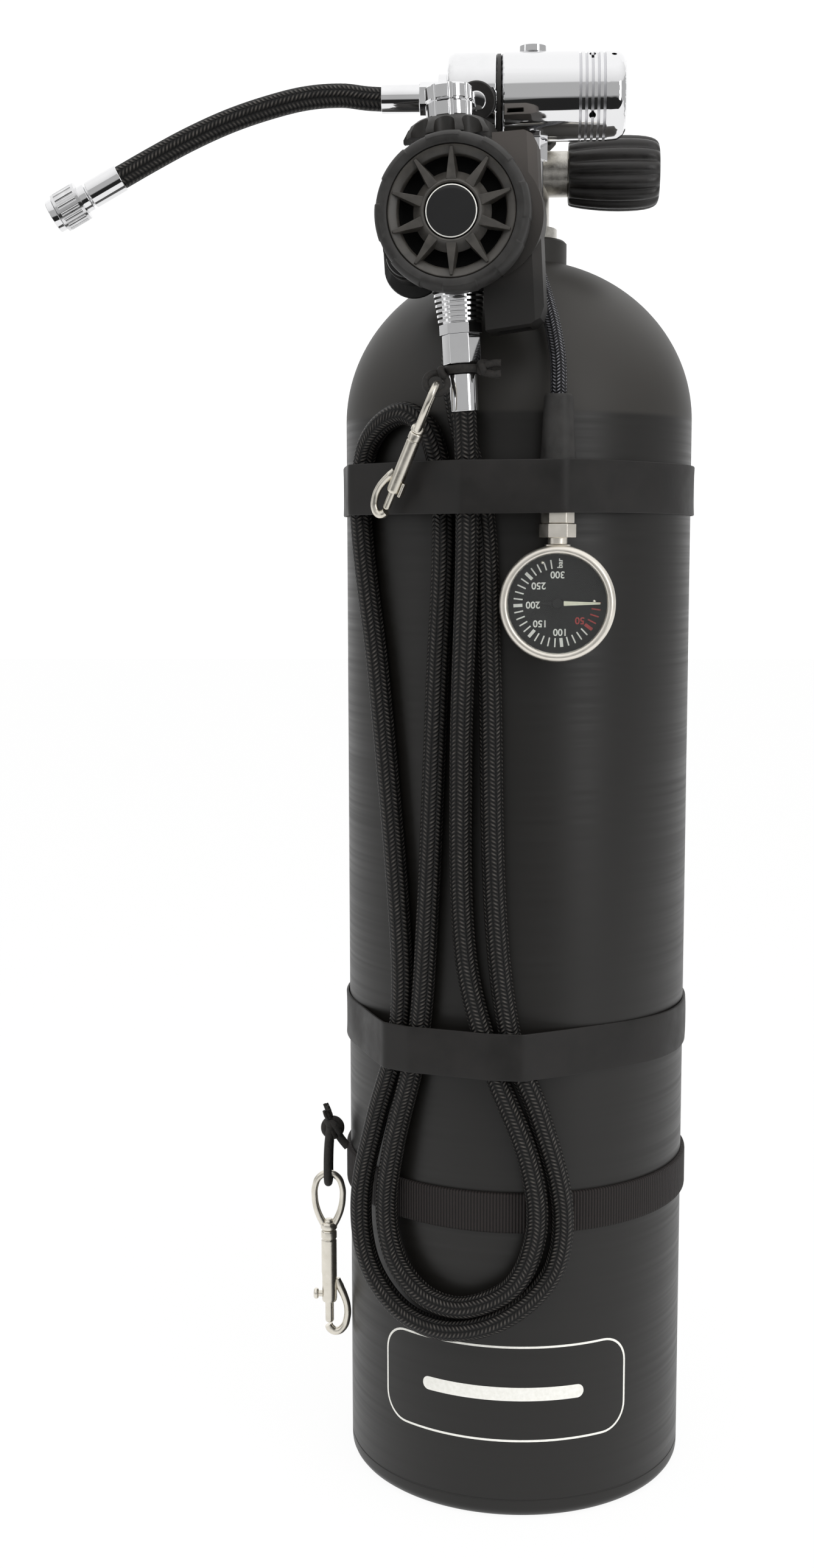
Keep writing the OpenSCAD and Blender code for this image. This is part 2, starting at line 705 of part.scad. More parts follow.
module gauge_needle() {
    at_gauge() {
        rod_y(5, -2.6, -1);
        rod_y(2, -2, 3.4);
        translate([0, -2.2, -1.1]) cube([gauge_d / 2 - 7, 0.8, 2.2]);
        translate([-9, -2.2, -1.7]) cube([9, 0.8, 3.4]);
    }
}
module pressure_tube() {
    at_gauge() {
        translate([0, 3.2, 0]) rotate([90, 0, 0]) rotate_extrude(angle = 270)
            translate([14, 0]) circle(r = 1.6, $fn = 24);
        translate([14, 3.2, 0]) sphere(r = 1.9);
        translate([0, 3.2, -14]) sphere(r = 1.9);
    }
}

// Rubber bands, strap and ties
module band_outline(z, grow) {
    hull() {
        circle(r = tank_r + 0.1 + grow, $fn = 90);
        for (p = band_holds(z)) translate([p[0], p[1]]) circle(r = p[2] + 0.3 + grow, $fn = 24);
    }
}
function band_holds(z) = z > 400
    ? concat([for (q = [[-54.5, 0], [-22, 0], [-13, 11]]) let (r = wall_lie + q[1])
        [r * sin(q[0]), -r * cos(q[0]), hose_d / 2]], [[stem_x, stem_y, 8.2]])
    : [for (a = [-39.5, -31.5, -7.5, 1.2]) [wall_lie * sin(a), -wall_lie * cos(a), hose_d / 2]];
module band_at(z, w) {
    translate([0, 0, z - w / 2]) linear_extrude(w) difference() {
        band_outline(z, band_t);
        band_outline(z, 0);
    }
}
module upper_band() band_at(upper_band_z, upper_band_w);
module lower_band() band_at(lower_band_z, lower_band_w);
module webbing_strap() {
    difference() {
        rod_z(cylinder_d + 4.2, strap_z - strap_w / 2, strap_z + strap_w / 2);
        rod_z(cylinder_d + 0.1, strap_z - strap_w, strap_z + strap_w);
    }
}
module lower_tie() {
    loop_z = snap_z + 31 * lower_snap_size;
    translate([snap_x, snap_y, loop_z]) {
        translate([0, 0, -4.5]) rod_y(4.4, -4.5, 4.5);
        for (y = [-4.5, 4.5]) translate([0, y, 0]) {
            translate([0, 0, -4.5]) sphere(r = 2.2);
            rod_z(4.4, -4.5, 26);
        }
        translate([2, 0, 26]) sphere(r = 6.4);
        translate([4, 0, 24]) rotate([0, 145, 0]) rod_z(4.4, 0, 11);
    }
}
module upper_tie() {
    at_stage() translate([0, 0, -66.8]) {
        ring(6.9, 2.1);
        translate([10.2, -3.4, -0.4]) sphere(r = 3.2);
        translate([11, -4, 0]) rotate([20, 80, 0]) rod_z(4, 0, 7);
    }
    at_upper_snap() {
        translate([-0.6, 3.45, 31]) rotate([48, 0, 0]) ring(6.5, 2.05);
        translate([0.2, 7.5, 37]) sphere(r = 3.6);
    }
}

// Bolt snaps, drawn with the eye up and the hook to the right
module snap_eye_shape() {
    rotate([90, 0, 0]) {
        translate([0, 24, 0]) rotate_extrude(angle = 180) translate([7.2, 0]) circle(r = 1.9, $fn = 24);
        translate([0, 9.2, 0]) rotate([0, 0, 180]) rotate_extrude(angle = 180)
            translate([7.2, 0]) circle(r = 1.9, $fn = 24);
    }
    translate([7.2, 0, 0]) rod_z(3.8, 9.2, 24);
    translate([-7.2, 0, 0]) rod_z(3.8, 9.2, 24);
    rod_z(6, 0.2, 3);
    rod_z(4, -3, 1);
    rod_z(5.8, -5, -3);
}
module snap_hook_shape() {
    difference() {
        union() {
            rod_z(8.2, -40, 0);
            translate([0, -1.9, -34]) cube([9.6, 3.8, 6]);
            translate([9.6, 0, 0]) rod_z(3.8, -52, -28);
            translate([4.8, 0, -52]) rotate([90, 0, 0]) rotate([0, 0, 180]) rotate_extrude(angle = 180)
                translate([4.8, 0]) circle(r = 1.9, $fn = 24);
        }
        rod_z(4.2, -3.4, 1);
        rod_z(6.2, -5.4, -2.7);
        rod_z(4.8, -41, -5);
        translate([-6, -2, -38.6]) cube([6, 4, 14.6]);
    }
}
module snap_bolt_shape() {
    rod_z(4.6, -51.8, -33);
    translate([0, 0, -36]) rod_x(3.4, -7, 0);
    translate([0, 0, -36]) rod_x(6, -8.4, -6);
}
module lower_snap_eye() at_lower_snap() snap_eye_shape();
module lower_snap_hook() at_lower_snap() snap_hook_shape();
module lower_snap_bolt() at_lower_snap() snap_bolt_shape();
module upper_snap_eye() at_upper_snap() rotate([0, 0, 90]) snap_eye_shape();
module upper_snap_hook() at_upper_snap() rotate([0, 0, 160]) snap_hook_shape();
module upper_snap_bolt() at_upper_snap() rotate([0, 0, 160]) snap_bolt_shape();

// Quick coupling at the end of the inflator hose
module coupler_body() {
    at_coupler() difference() {
        union() {
            rod_x(13, 0, 17);
            rod_x(10, 16, 19);
            rod_x(13, 18, 36);
            rod_x(16, 34.5, 38);
        }
        rod_x(9.6, 24, 39);
        rod_x(4, 10, 25);
    }
}
module coupler_sleeve() {
    at_coupler() difference() {
        rod_x(18.6, 21.8, 34.2);
        rod_x(13.1, 20, 36);
        for (k = [0 : 17]) rotate([20 * k, 0, 0]) translate([0, 9.9, 0]) rod_x(2.4, 23.2, 32.8);
    }
}

cylinder_shell();
neck_oring();
valve_body();
dip_tube();
valve_bonnet();
seat_plug();
valve_spindle();
valve_knob();
knob_nut();
joint_wheel();
joint_screw();
joint_oring();
first_stage_body();
first_stage_turret();
turret_seal();
high_pressure_plug();
low_pressure_plug();
long_hose_fitting();
gauge_hose_fitting();
inflator_hose_fitting();
stage_hose_fitting();
long_hose();
gauge_hose();
inflator_hose();
stage_case();
stage_barrel();
demand_poppet();
demand_lever();
diaphragm();
front_grille();
front_ring();
purge_button();
adjuster_knob();
flow_collar();
exhaust_valve();
exhaust_tee();
mouthpiece();
mouthpiece_tie();
hose_protector();
gauge_swivel();
gauge_stem();
gauge_case();
gauge_bezel();
gauge_lens();
gauge_dial();
gauge_needle();
pressure_tube();
upper_band();
lower_band();
webbing_strap();
lower_tie();
upper_tie();
lower_snap_eye();
lower_snap_hook();
lower_snap_bolt();
upper_snap_eye();
upper_snap_hook();
upper_snap_bolt();
coupler_body();
coupler_sleeve();
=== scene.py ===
# Stage air pack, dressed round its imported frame.
# Everything is in metres in the frame's own axes: +Z up the cylinder, -Y to the
# side that shows the gauge. Sizes in the lists below are millimetres.
import json
import math
import random

import bpy
from mathutils import Matrix, Vector


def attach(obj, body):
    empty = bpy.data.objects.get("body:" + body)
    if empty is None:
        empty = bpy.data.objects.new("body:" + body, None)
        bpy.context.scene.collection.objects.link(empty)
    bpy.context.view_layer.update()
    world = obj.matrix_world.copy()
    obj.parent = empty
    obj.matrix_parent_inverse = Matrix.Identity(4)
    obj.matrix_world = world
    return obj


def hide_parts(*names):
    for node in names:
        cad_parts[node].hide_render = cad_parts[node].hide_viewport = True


MM = 0.001
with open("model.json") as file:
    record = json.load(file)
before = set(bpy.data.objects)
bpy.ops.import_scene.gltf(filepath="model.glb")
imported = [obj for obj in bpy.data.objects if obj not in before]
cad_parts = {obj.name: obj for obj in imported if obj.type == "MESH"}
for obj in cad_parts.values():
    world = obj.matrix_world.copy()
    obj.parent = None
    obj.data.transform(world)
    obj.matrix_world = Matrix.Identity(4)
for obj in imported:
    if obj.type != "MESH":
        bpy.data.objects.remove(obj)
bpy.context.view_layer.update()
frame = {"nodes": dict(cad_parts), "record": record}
body_of_node = {
    solid: body for body, solids in frame["record"]["behaviour"]["bodies"].items() for solid in solids
}

# Sizes shared with the solids
TANK_R = 88.0
SHOULDER_Z = 548.0
DOME_H = 81.0
NECK_R = 24.0
NECK_TOP = 638.0
KNOB_Z = 671.5
OUTLET_Z = 695.0
FIRST_Y = -63.0
PORT_X = -20.0
GAUGE_PORT_X = 6.0
FERRULE_FOOT = 641.6
FIRST_R = 20.2
GROOVE_END = 40.0
PLUG_DIP = 16.0
TURRET_X = -34.0
CASE_X = 1.8
MOUTH_X = -26.0
STEM_X = 18.5
STEM_Y = -98.0
GAUGE_Z = 459.0
PROTECTOR_TOP = 555.0
PROTECTOR_FOOT = 512.0
HOSE_D = 11.0
GAUGE_HOSE_D = 7.5
STRAP_LOW = 150.0
STRAP_HIGH = 170.0
# The strap's outer face
STRAP_R = TANK_R + 2.1
# Points closer than this are one point
WELD = 0.002 * MM


def turn(degrees, axis):
    return Matrix.Rotation(math.radians(degrees), 4, axis)


def shift(x, y, z):
    return Matrix.Translation((x * MM, y * MM, z * MM))


AT_VALVE = shift(0, 0, KNOB_Z)
AT_FIRST = shift(0, FIRST_Y, OUTLET_Z)
AT_STAGE = shift(-29.2, -101, 632.8) @ turn(-3, "Y") @ turn(-6, "Z")
# Turned pieces are drawn along Z, and this lays them with +Z to the front
FACING_FRONT = turn(90, "X")
AT_COVER = AT_STAGE @ shift(CASE_X, 0, 0) @ FACING_FRONT
AT_GAUGE = shift(STEM_X, STEM_Y, GAUGE_Z) @ FACING_FRONT
AT_LOWER_SNAP = shift(-99.5, -12, 121.5)
AT_UPPER_SNAP = shift(-46.7, -101, 537.8) @ turn(24, "Y") @ turn(20, "X") @ Matrix.Scale(0.78, 4)


# Colour and nodes
def linear(hex_colour):
    """An sRGB hex colour as linear RGBA."""
    parts = [int(hex_colour[i:i + 2], 16) / 255 for i in (1, 3, 5)]
    return [p / 12.92 if p <= 0.04045 else ((p + 0.055) / 1.055) ** 2.4 for p in parts] + [1.0]


def node(tree, kind, inputs=None, **settings):
    """Adds one node: its settings, and for each input a value, an output to link, or a node whose
    first output is linked."""
    made = tree.nodes.new("ShaderNode" + kind)
    for key, value in settings.items():
        setattr(made, key, value)
    for key, value in (inputs or {}).items():
        if isinstance(value, bpy.types.Node):
            value = value.outputs[0]
        if isinstance(value, bpy.types.NodeSocket):
            tree.links.new(value, made.inputs[key])
        else:
            made.inputs[key].default_value = value
    return made


def finish(name, colour, roughness, metallic=0.0, sheen=0.5):
    """A new material and its shader, with the plain values set. The sheen is the strength of the
    mirror that a surface which is no metal has."""
    material = bpy.data.materials.new(name)
    material.use_nodes = True
    material.diffuse_color = linear(colour)
    shader = material.node_tree.nodes["Principled BSDF"]
    shader.inputs["Base Color"].default_value = linear(colour)
    shader.inputs["Roughness"].default_value = roughness
    shader.inputs["Metallic"].default_value = metallic
    shader.inputs["Specular IOR Level"].default_value = sheen
    return material, material.node_tree, shader


def mottled(tree, shader, coords, patch_mm, dark, light, rough_low, rough_high, detail):
    """Colour and roughness that drift over patches of about that size."""
    patches = node(tree, "TexNoise",
                   {"Vector": coords, "Scale": 1000 / patch_mm, "Detail": detail, "Roughness": 0.6})
    spread = {"Value": patches, "From Min": 0.3, "From Max": 0.7}
    share = node(tree, "MapRange", spread)
    tint = node(tree, "Mix", {0: share, 6: linear(dark), 7: linear(light)}, data_type="RGBA")
    gloss = node(tree, "MapRange", {**spread, "To Min": rough_low, "To Max": rough_high})
    tree.links.new(tint.outputs[2], shader.inputs["Base Color"])
    tree.links.new(gloss.outputs[0], shader.inputs["Roughness"])


def grained(tree, shader, coords, size_mm, depth_mm, strength):
    """A fine grain that catches the light."""
    grain = node(tree, "TexNoise", {"Vector": coords, "Scale": 1000 / size_mm, "Detail": 3.0})
    bump = node(tree, "Bump", {"Height": grain, "Distance": depth_mm * MM, "Strength": strength})
    tree.links.new(bump.outputs["Normal"], shader.inputs["Normal"])


def surface(name, colour, patch_mm, dark, light, roughs, grain=None, metallic=0.0, sheen=0.5, detail=4.0):
    """A material that drifts between two tints and two roughnesses over patches, with a grain of
    a size and a depth in mm and a strength, if it has one."""
    material, tree, shader = finish(name, colour, sum(roughs) / 2, metallic, sheen)
    coords = node(tree, "TexCoord").outputs["Object"]
    mottled(tree, shader, coords, patch_mm, dark, light, *roughs, detail)
    if grain:
        grained(tree, shader, coords, *grain)
    return material


# Aluminium, turned and then painted satin black: fine turning rings, about 2.4 mm apart, show
# through the paint on the wall, and the sprayed shoulder is a little rougher, with clouds of about
# 70 mm. The shoulder's colour is made paler as painted sheen from above.
satin_paint, tree, shader = finish("satin_black_painted_aluminium", "#161615", 0.42, sheen=0.42)
coords = node(tree, "TexCoord").outputs["Object"]
lines = node(tree, "Mapping", {"Vector": coords, "Scale": (1000 / 333, 1000 / 333, 1000 / 2.38)})
rings = node(tree, "TexNoise", {"Vector": lines, "Scale": 1.0, "Detail": 5.0})
clouds = node(tree, "TexNoise", {"Vector": coords, "Scale": 1000 / 71.4, "Detail": 5.0})
height = node(tree, "SeparateXYZ", {"Vector": coords})
on_dome = node(tree, "MapRange",
               {"Value": height.outputs["Z"], "From Min": (SHOULDER_Z - 0.8) * MM,
                "From Max": (SHOULDER_Z + 1.2) * MM})
wall_gloss = node(tree, "MapRange",
                  {"Value": rings, "From Min": 0.3, "From Max": 0.7,
                   "To Min": 0.37, "To Max": 0.47})
dome_gloss = node(tree, "MapRange",
                  {"Value": clouds, "From Min": 0.3, "From Max": 0.7,
                   "To Min": 0.46, "To Max": 0.54})
gloss = node(tree, "Mix", {0: on_dome, 2: wall_gloss, 3: dome_gloss})
wall_tint = node(tree, "Mix", {0: clouds, 6: linear("#12110f"), 7: linear("#171513")}, data_type="RGBA")
# The shoulder's paler tint is painted sheen from above
dome_painted_sheen_tint = node(tree, "Mix", {0: clouds, 6: linear("#272522"), 7: linear("#2d2b28")}, data_type="RGBA")
tint = node(tree, "Mix", {0: on_dome, 6: wall_tint.outputs[2], 7: dome_painted_sheen_tint.outputs[2]}, data_type="RGBA")
bump = node(tree, "Bump", {"Height": rings, "Distance": 0.04 * MM, "Strength": 0.35})
tree.links.new(gloss.outputs[0], shader.inputs["Roughness"])
tree.links.new(tint.outputs[2], shader.inputs["Base Color"])
tree.links.new(bump.outputs["Normal"], shader.inputs["Normal"])

# Chromed brass, polished before plating: a mirror with faint wiping marks.
chrome = surface("polished_chrome_plate", "#e9e9ea", 12, "#e6e6e7", "#ececed", (0.04, 0.07), metallic=1.0)

# The same plate on the first stage, rougher at the bottom of its turned grooves and recesses, where
# the polishing wheel does not reach, and darker in colour there as painted shade in the grooves.
grooved_chrome, tree, shader = finish("chrome_plate_with_dull_shaded_grooves", "#e9e9ea", 0.06, 1.0)
coords = node(tree, "TexCoord").outputs["Object"]
off_axis = node(tree, "Mapping",
                {"Vector": coords, "Location": (0, -FIRST_Y * MM, -OUTLET_Z * MM), "Scale": (0, 1, 1)})
radius = node(tree, "VectorMath", {0: off_axis}, operation="LENGTH")
groove_shade = node(tree, "MapRange",
            {"Value": radius.outputs["Value"], "From Min": (FIRST_R - 0.9) * MM,
             "From Max": (FIRST_R - 0.3) * MM, "To Min": 1.0, "To Max": 0.0})
along = node(tree, "SeparateXYZ", {"Vector": coords})
before_end = node(tree, "Math", {0: along.outputs["X"], 1: GROOVE_END * MM}, operation="LESS_THAN")
groove_shade = node(tree, "Math", {0: groove_shade, 1: before_end}, operation="MULTIPLY")
# Darker colour in the groove floors: painted shade
tint = node(tree, "Mix", {0: groove_shade, 6: linear("#e9e9ea"), 7: linear("#cfcfd2")}, data_type="RGBA")
gloss = node(tree, "Mix", {0: groove_shade, 2: 0.055, 3: 0.3})
tree.links.new(tint.outputs[2], shader.inputs["Base Color"])
tree.links.new(gloss.outputs[0], shader.inputs["Roughness"])

# Chrome over blasted brass: the same plate on a peppered surface of 0.6 mm grit, silvery and dull.
blasted_chrome = surface("blasted_chrome_plate", "#cfccc6", 2.5, "#bab7b0", "#dcd9d2", (0.28, 0.42),
                         (0.6, 0.12, 0.6), metallic=1.0)

# Stainless steel, tumbled bright: a soft mirror, slightly warm.
bright_steel = surface("tumbled_stainless_steel", "#e0dbd0", 5, "#d6d1c5", "#e8e3d8", (0.25, 0.34),
                       (1.6, 0.02, 0.2), metallic=1.0)

# Nickel plate over brass, satin finished: paler than the steel and evenly soft.
satin_nickel = surface("satin_nickel_plate", "#f0ebe1", 6, "#e9e4d9", "#f5f0e7", (0.35, 0.45), metallic=1.0)

# Moulded rubber, dull and dark, greyed by handling.
ring_rubber = surface("moulded_grey_rubber", "#2e2d2c", 7, "#262524", "#343332", (0.48, 0.64),
                      (0.9, 0.06, 0.45), sheen=0.3)

# Moulded knob rubber: blacker, a little shinier along the ribs.
knob_rubber = surface("moulded_black_rubber", "#12100e", 6, "#0e0c0b", "#171412", (0.34, 0.5),
                      (1.1, 0.08, 0.5), sheen=0.6)

# Cut strip of tyre-tube rubber: grey-black, with talc smears.
strip_rubber = surface("tube_strip_rubber", "#1f1e1d", 16, "#151413", "#201e1d", (0.44, 0.6),
                       (2.2, 0.08, 0.4), sheen=0.3, detail=6.0)

# Glass-filled nylon, moulded with a fine spark grain: an even, dull black.
moulded_nylon = surface("moulded_black_nylon", "#201f1d", 8, "#1c1b19", "#252321", (0.4, 0.52),
                        (0.7, 0.05, 0.4), sheen=0.4)

# The grille's nylon, rubbed grey and shiny by hands.
grille_nylon = surface("handled_black_nylon", "#393734", 5, "#312f2c", "#423f3b", (0.32, 0.46),
                       (0.7, 0.04, 0.35))

# Soft moulded polymer of the exhaust tee: a warm grey black, nearly matt, made paler towards the top
# as painted light from above, with an uneven edge of about 17 mm patches.
tee_nylon, tree, shader = finish("soft_black_polymer", "#2f2c2a", 0.55, sheen=0.25)
coords = node(tree, "TexCoord").outputs["Object"]
height = node(tree, "SeparateXYZ", {"Vector": coords})
drift = node(tree, "TexNoise", {"Vector": coords, "Scale": 1000 / 16.67, "Detail": 4.0})
# Paler colour towards the top: painted light from above
painted_top_light = node(tree, "Math", {0: drift, 1: 0.02, 2: height.outputs["Z"]}, operation="MULTIPLY_ADD")
painted_top_light = node(tree, "MapRange", {"Value": painted_top_light, "From Min": 610 * MM, "From Max": 675 * MM})
tint = node(tree, "Mix", {0: painted_top_light, 6: linear("#201f1e"), 7: linear("#4b4744")}, data_type="RGBA")
tree.links.new(tint.outputs[2], shader.inputs["Base Color"])
grained(tree, shader, coords, 1.2, 0.05, 0.35)

# Moulded rubber of the diaphragm behind the grille, dull black, painted darker still as the shade
# in the cavity that shows through the grille's windows.
shaded_diaphragm_rubber = surface("black_rubber_painted_shade", "#060606", 6, "#040404", "#080808", (0.75, 0.85), sheen=0.15)

# Cast resin cap over a black disc: deep and glossy.
gloss_cap = surface("gloss_black_resin", "#09090a", 12, "#080809", "#0c0c0d", (0.05, 0.1), sheen=0.4)
shader = gloss_cap.node_tree.nodes["Principled BSDF"]
shader.inputs["Coat Weight"].default_value = 0.3
shader.inputs["Coat Roughness"].default_value = 0.03

# Silicone and soft sealing rubber, moulded: smooth, dark and slightly waxy.
silicone = surface("black_silicone", "#0d0d0d", 6, "#0a0a0a", "#111010", (0.42, 0.58))

# Braided polyester cord, 4 mm: black with a fine, fuzzy plait.
tie_cord = surface("braided_polyester_cord", "#1c1a18", 1.4, "#11100f", "#2b2825", (0.65, 0.85),
                   (0.9, 0.35, 0.8))

# Turned brass of the inner works: warm, with a soft shine.
brass = surface("turned_brass", "#b08d4c", 4, "#a58243", "#bb9858", (0.24, 0.36), metallic=1.0)

# Printed dial card and its inks: a dull black ground on which flat, nearly matt print stands out.
dial_card = surface("dull_black_dial", "#121111", 5, "#0f0e0e", "#131212", (0.56, 0.68), sheen=0.25)
white_ink = surface("white_printing_ink", "#e9e8e2", 2, "#e2e1da", "#efeee9", (0.5, 0.6))
red_ink = surface("red_printing_ink", "#a5302c", 2, "#9b2b28", "#ae3631", (0.5, 0.6))

# Brushed-on needle paint: an even cream that glows against the card.
cream_paint = surface("cream_needle_paint", "#e6e4cd", 3, "#dfddc6", "#ecead5", (0.45, 0.55))

# Toughened glass, polished: clear, with a weak reflection.
window_glass, tree, shader = finish("clear_toughened_glass", "#f4f6f5", 0.02)
shader.inputs["Transmission Weight"].default_value = 1.0
shader.inputs["IOR"].default_value = 1.35

# Chrome on the coupling's ribbed sleeve, handled: the same plate, a little duller.
knurled_chrome = surface("knurled_chrome_plate", "#dcdcdd", 6, "#cfcfd0", "#e6e6e7", (0.1, 0.2),
                         metallic=1.0)


def braid(name, length, pitch_mm, gap_shade, thread, painted_glint_colour, rough):
    """Braided hose cover on a curve's own map: columns of slanted threads that lean left and
    right by turns, so that they meet in arrow heads. Real threads are about half as wide; they
    are drawn coarser so that the pattern shows."""
    columns = 10
    material, tree, shader = finish(name, thread, rough, sheen=0.24)
    places = node(tree, "TexCoord").outputs
    along_round = node(tree, "SeparateXYZ", {"Vector": places["UV"]})
    along = node(tree, "Math", {0: along_round.outputs["X"], 1: length / (pitch_mm * MM)},
                 operation="MULTIPLY")
    round_it = node(tree, "Math", {0: along_round.outputs["Y"], 1: float(columns)}, operation="MULTIPLY")
    across = node(tree, "Math", {0: round_it}, operation="FRACT")
    column = node(tree, "Math", {0: round_it}, operation="FLOOR")
    lean = node(tree, "Math", {0: column, 1: 1.0}, operation="PINGPONG")
    lean = node(tree, "Math", {0: lean, 1: 2.0, 2: -1.0}, operation="MULTIPLY_ADD")
    slant = node(tree, "Math", {0: lean, 1: across}, operation="MULTIPLY")
    phase = node(tree, "Math", {0: slant, 1: 0.95, 2: along}, operation="MULTIPLY_ADD")
    half_turn = node(tree, "Math", {0: phase, 1: math.pi}, operation="MULTIPLY")
    wave = node(tree, "Math", {0: half_turn}, operation="SINE")
    ridge = node(tree, "Math", {0: wave}, operation="ABSOLUTE")
    arch = node(tree, "Math", {0: across, 1: math.pi}, operation="MULTIPLY")
    arch = node(tree, "Math", {0: arch}, operation="SINE")
    arch = node(tree, "Math", {0: arch, 1: 0.45}, operation="POWER")
    relief = node(tree, "Math", {0: ridge, 1: arch}, operation="MULTIPLY")
    # The gaps' darker colour is painted shade between the threads
    tint = node(tree, "Mix", {0: relief, 6: linear(gap_shade), 7: linear(thread)}, data_type="RGBA")
    # The crowns of the threads carry a painted glint, stronger in spots of 3.5 mm
    crown = node(tree, "Math", {0: relief, 1: 5.0}, operation="POWER")
    glint_spots = node(tree, "TexNoise", {"Vector": places["Object"], "Scale": 1000 / 3.5, "Detail": 2.0})
    painted_glint = node(tree, "Math", {0: glint_spots, 1: crown}, operation="MULTIPLY")
    tint = node(tree, "Mix", {0: painted_glint, 6: tint.outputs[2], 7: linear(painted_glint_colour)}, data_type="RGBA")
    bump = node(tree, "Bump", {"Height": relief, "Distance": 0.6 * MM, "Strength": 0.9})
    tree.links.new(tint.outputs[2], shader.inputs["Base Color"])
    tree.links.new(bump.outputs["Normal"], shader.inputs["Normal"])
    return material


# Woven polyester webbing, 20 mm wide: upright ribs 1.6 mm apart round the strap, with a fuzz of
# 1.1 mm, black and dull.
webbing, tree, shader = finish("ribbed_polyester_webbing", "#1a1715", 0.72, sheen=0.3)
coords = node(tree, "TexCoord").outputs["Object"]
split = node(tree, "SeparateXYZ", {"Vector": coords})
angle = node(tree, "Math", {0: split.outputs["Y"], 1: split.outputs["X"]}, operation="ARCTAN2")
turns = node(tree, "Math", {0: angle, 1: STRAP_R / 1.6 * math.pi}, operation="MULTIPLY")
wave = node(tree, "Math", {0: turns}, operation="SINE")
ridge = node(tree, "Math", {0: wave}, operation="ABSOLUTE")
yarn = node(tree, "TexNoise", {"Vector": coords, "Scale": 1000 / 1.11, "Detail": 3.0})
relief = node(tree, "Math", {0: yarn, 1: 0.5, 2: ridge}, operation="MULTIPLY_ADD")
# The valleys between the ribs are darker in colour: painted shade
tint = node(tree, "Mix", {0: ridge, 6: linear("#0a0909"), 7: linear("#262120")}, data_type="RGBA")
bump = node(tree, "Bump", {"Height": relief, "Distance": 0.5 * MM, "Strength": 0.8})
tree.links.new(tint.outputs[2], shader.inputs["Base Color"])
tree.links.new(bump.outputs["Normal"], shader.inputs["Normal"])


# Modelling
def clear_selection():
    """Leaves edit mode with nothing selected."""
    if bpy.context.mode != "OBJECT":
        bpy.ops.object.mode_set(mode="OBJECT")
    bpy.ops.object.select_all(action="DESELECT")


def hold(piece):
    """Makes a piece the only selected one."""
    clear_selection()
    bpy.context.view_layer.objects.active = piece
    piece.select_set(True)
    return piece


def pick(piece, kind, test):
    """Enters edit mode with only the points or faces that pass the test selected."""
    hold(piece)
    mesh = piece.data
    for group in (mesh.vertices, mesh.edges, mesh.polygons):
        group.foreach_set("select", [False] * len(group))
    for item in mesh.vertices if kind == "VERT" else mesh.polygons:
        item.select = test(item)
    bpy.context.tool_settings.mesh_select_mode = (kind == "VERT", False, kind == "FACE")
    bpy.ops.object.mode_set(mode="EDIT")


def closed_up(piece):
    """Merges a piece's doubled points and turns its faces outwards."""
    hold(piece)
    bpy.ops.object.mode_set(mode="EDIT")
    bpy.ops.mesh.select_all(action="SELECT")
    bpy.ops.mesh.remove_doubles(threshold=WELD)
    bpy.ops.mesh.normals_make_consistent(inside=False)
    bpy.ops.object.mode_set(mode="OBJECT")
    return piece


def turned(name, stations, sides=64, ring=False):
    """A turned piece about Z: a circle drawn out from station to station, each a height and
    a radius in mm. A ring's stations go round its section and meet."""
    clear_selection()
    bpy.context.tool_settings.mesh_select_mode = (True, False, False)
    height, radius = stations[0]
    bpy.ops.mesh.primitive_circle_add(vertices=sides, radius=radius * MM, location=(0, 0, height * MM),
                                      fill_type="NOTHING" if ring else "NGON")
    piece = bpy.context.object
    piece.name = name
    bpy.ops.object.transform_apply()
    bpy.ops.object.mode_set(mode="EDIT")
    bpy.ops.mesh.select_all(action="SELECT")
    for next_height, next_radius in stations[1:] + (stations[:1] if ring else []):
        bpy.ops.mesh.extrude_region_move(
            TRANSFORM_OT_translate={"value": (0, 0, (next_height - height) * MM)})
        grow = next_radius / radius
        bpy.ops.transform.resize(value=(grow, grow, 1), center_override=(0, 0, next_height * MM))
        height, radius = next_height, next_radius
    return closed_up(piece)


def block(name, low, high):
    """A box between two corners in mm, to be shaped further."""
    clear_selection()
    size = [b - a for a, b in zip(low, high)]
    middle = [(a + b) / 2 * MM for a, b in zip(low, high)]
    bpy.ops.mesh.primitive_cube_add(size=1, location=middle, scale=[s * MM for s in size])
    piece = bpy.context.object
    piece.name = name
    bpy.ops.object.transform_apply()
    return piece


def wire(name, points, radius, radii=None, closed=False, sides=6):
    """A bent wire or cord through points in mm, as a mesh."""
    clear_selection()
    line = bpy.data.curves.new(name, "CURVE")
    line.dimensions = "3D"
    line.bevel_depth = radius * MM
    line.bevel_resolution = sides
    line.resolution_u = 10
    line.use_fill_caps = not closed
    spline = line.splines.new("BEZIER")
    spline.bezier_points.add(len(points) - 1)
    for i, (knot, spot) in enumerate(zip(spline.bezier_points, points)):
        knot.co = Vector(spot) * MM
        knot.handle_left_type = knot.handle_right_type = "AUTO"
        knot.radius = radii[i] if radii else 1.0
    spline.use_cyclic_u = closed
    piece = bpy.data.objects.new(name, line)
    bpy.context.collection.objects.link(piece)
    hold(piece)
    bpy.ops.object.convert(target="MESH")
    return closed_up(bpy.context.object)


def modified(piece, kind, **settings):
    """Adds a modifier to a piece and applies it."""
    hold(piece)
    extra = piece.modifiers.new(kind.title(), kind)
    for key, value in settings.items():
        setattr(extra, key, value)
    bpy.ops.object.modifier_apply(modifier=extra.name)
    return piece


def softened(piece, width, segments=2, angle=32):
    """Breaks the sharp edges by a width in mm."""
    return modified(piece, "BEVEL", width=width * MM, segments=segments, limit_method="ANGLE",
                    angle_limit=math.radians(angle), miter_outer="MITER_ARC")


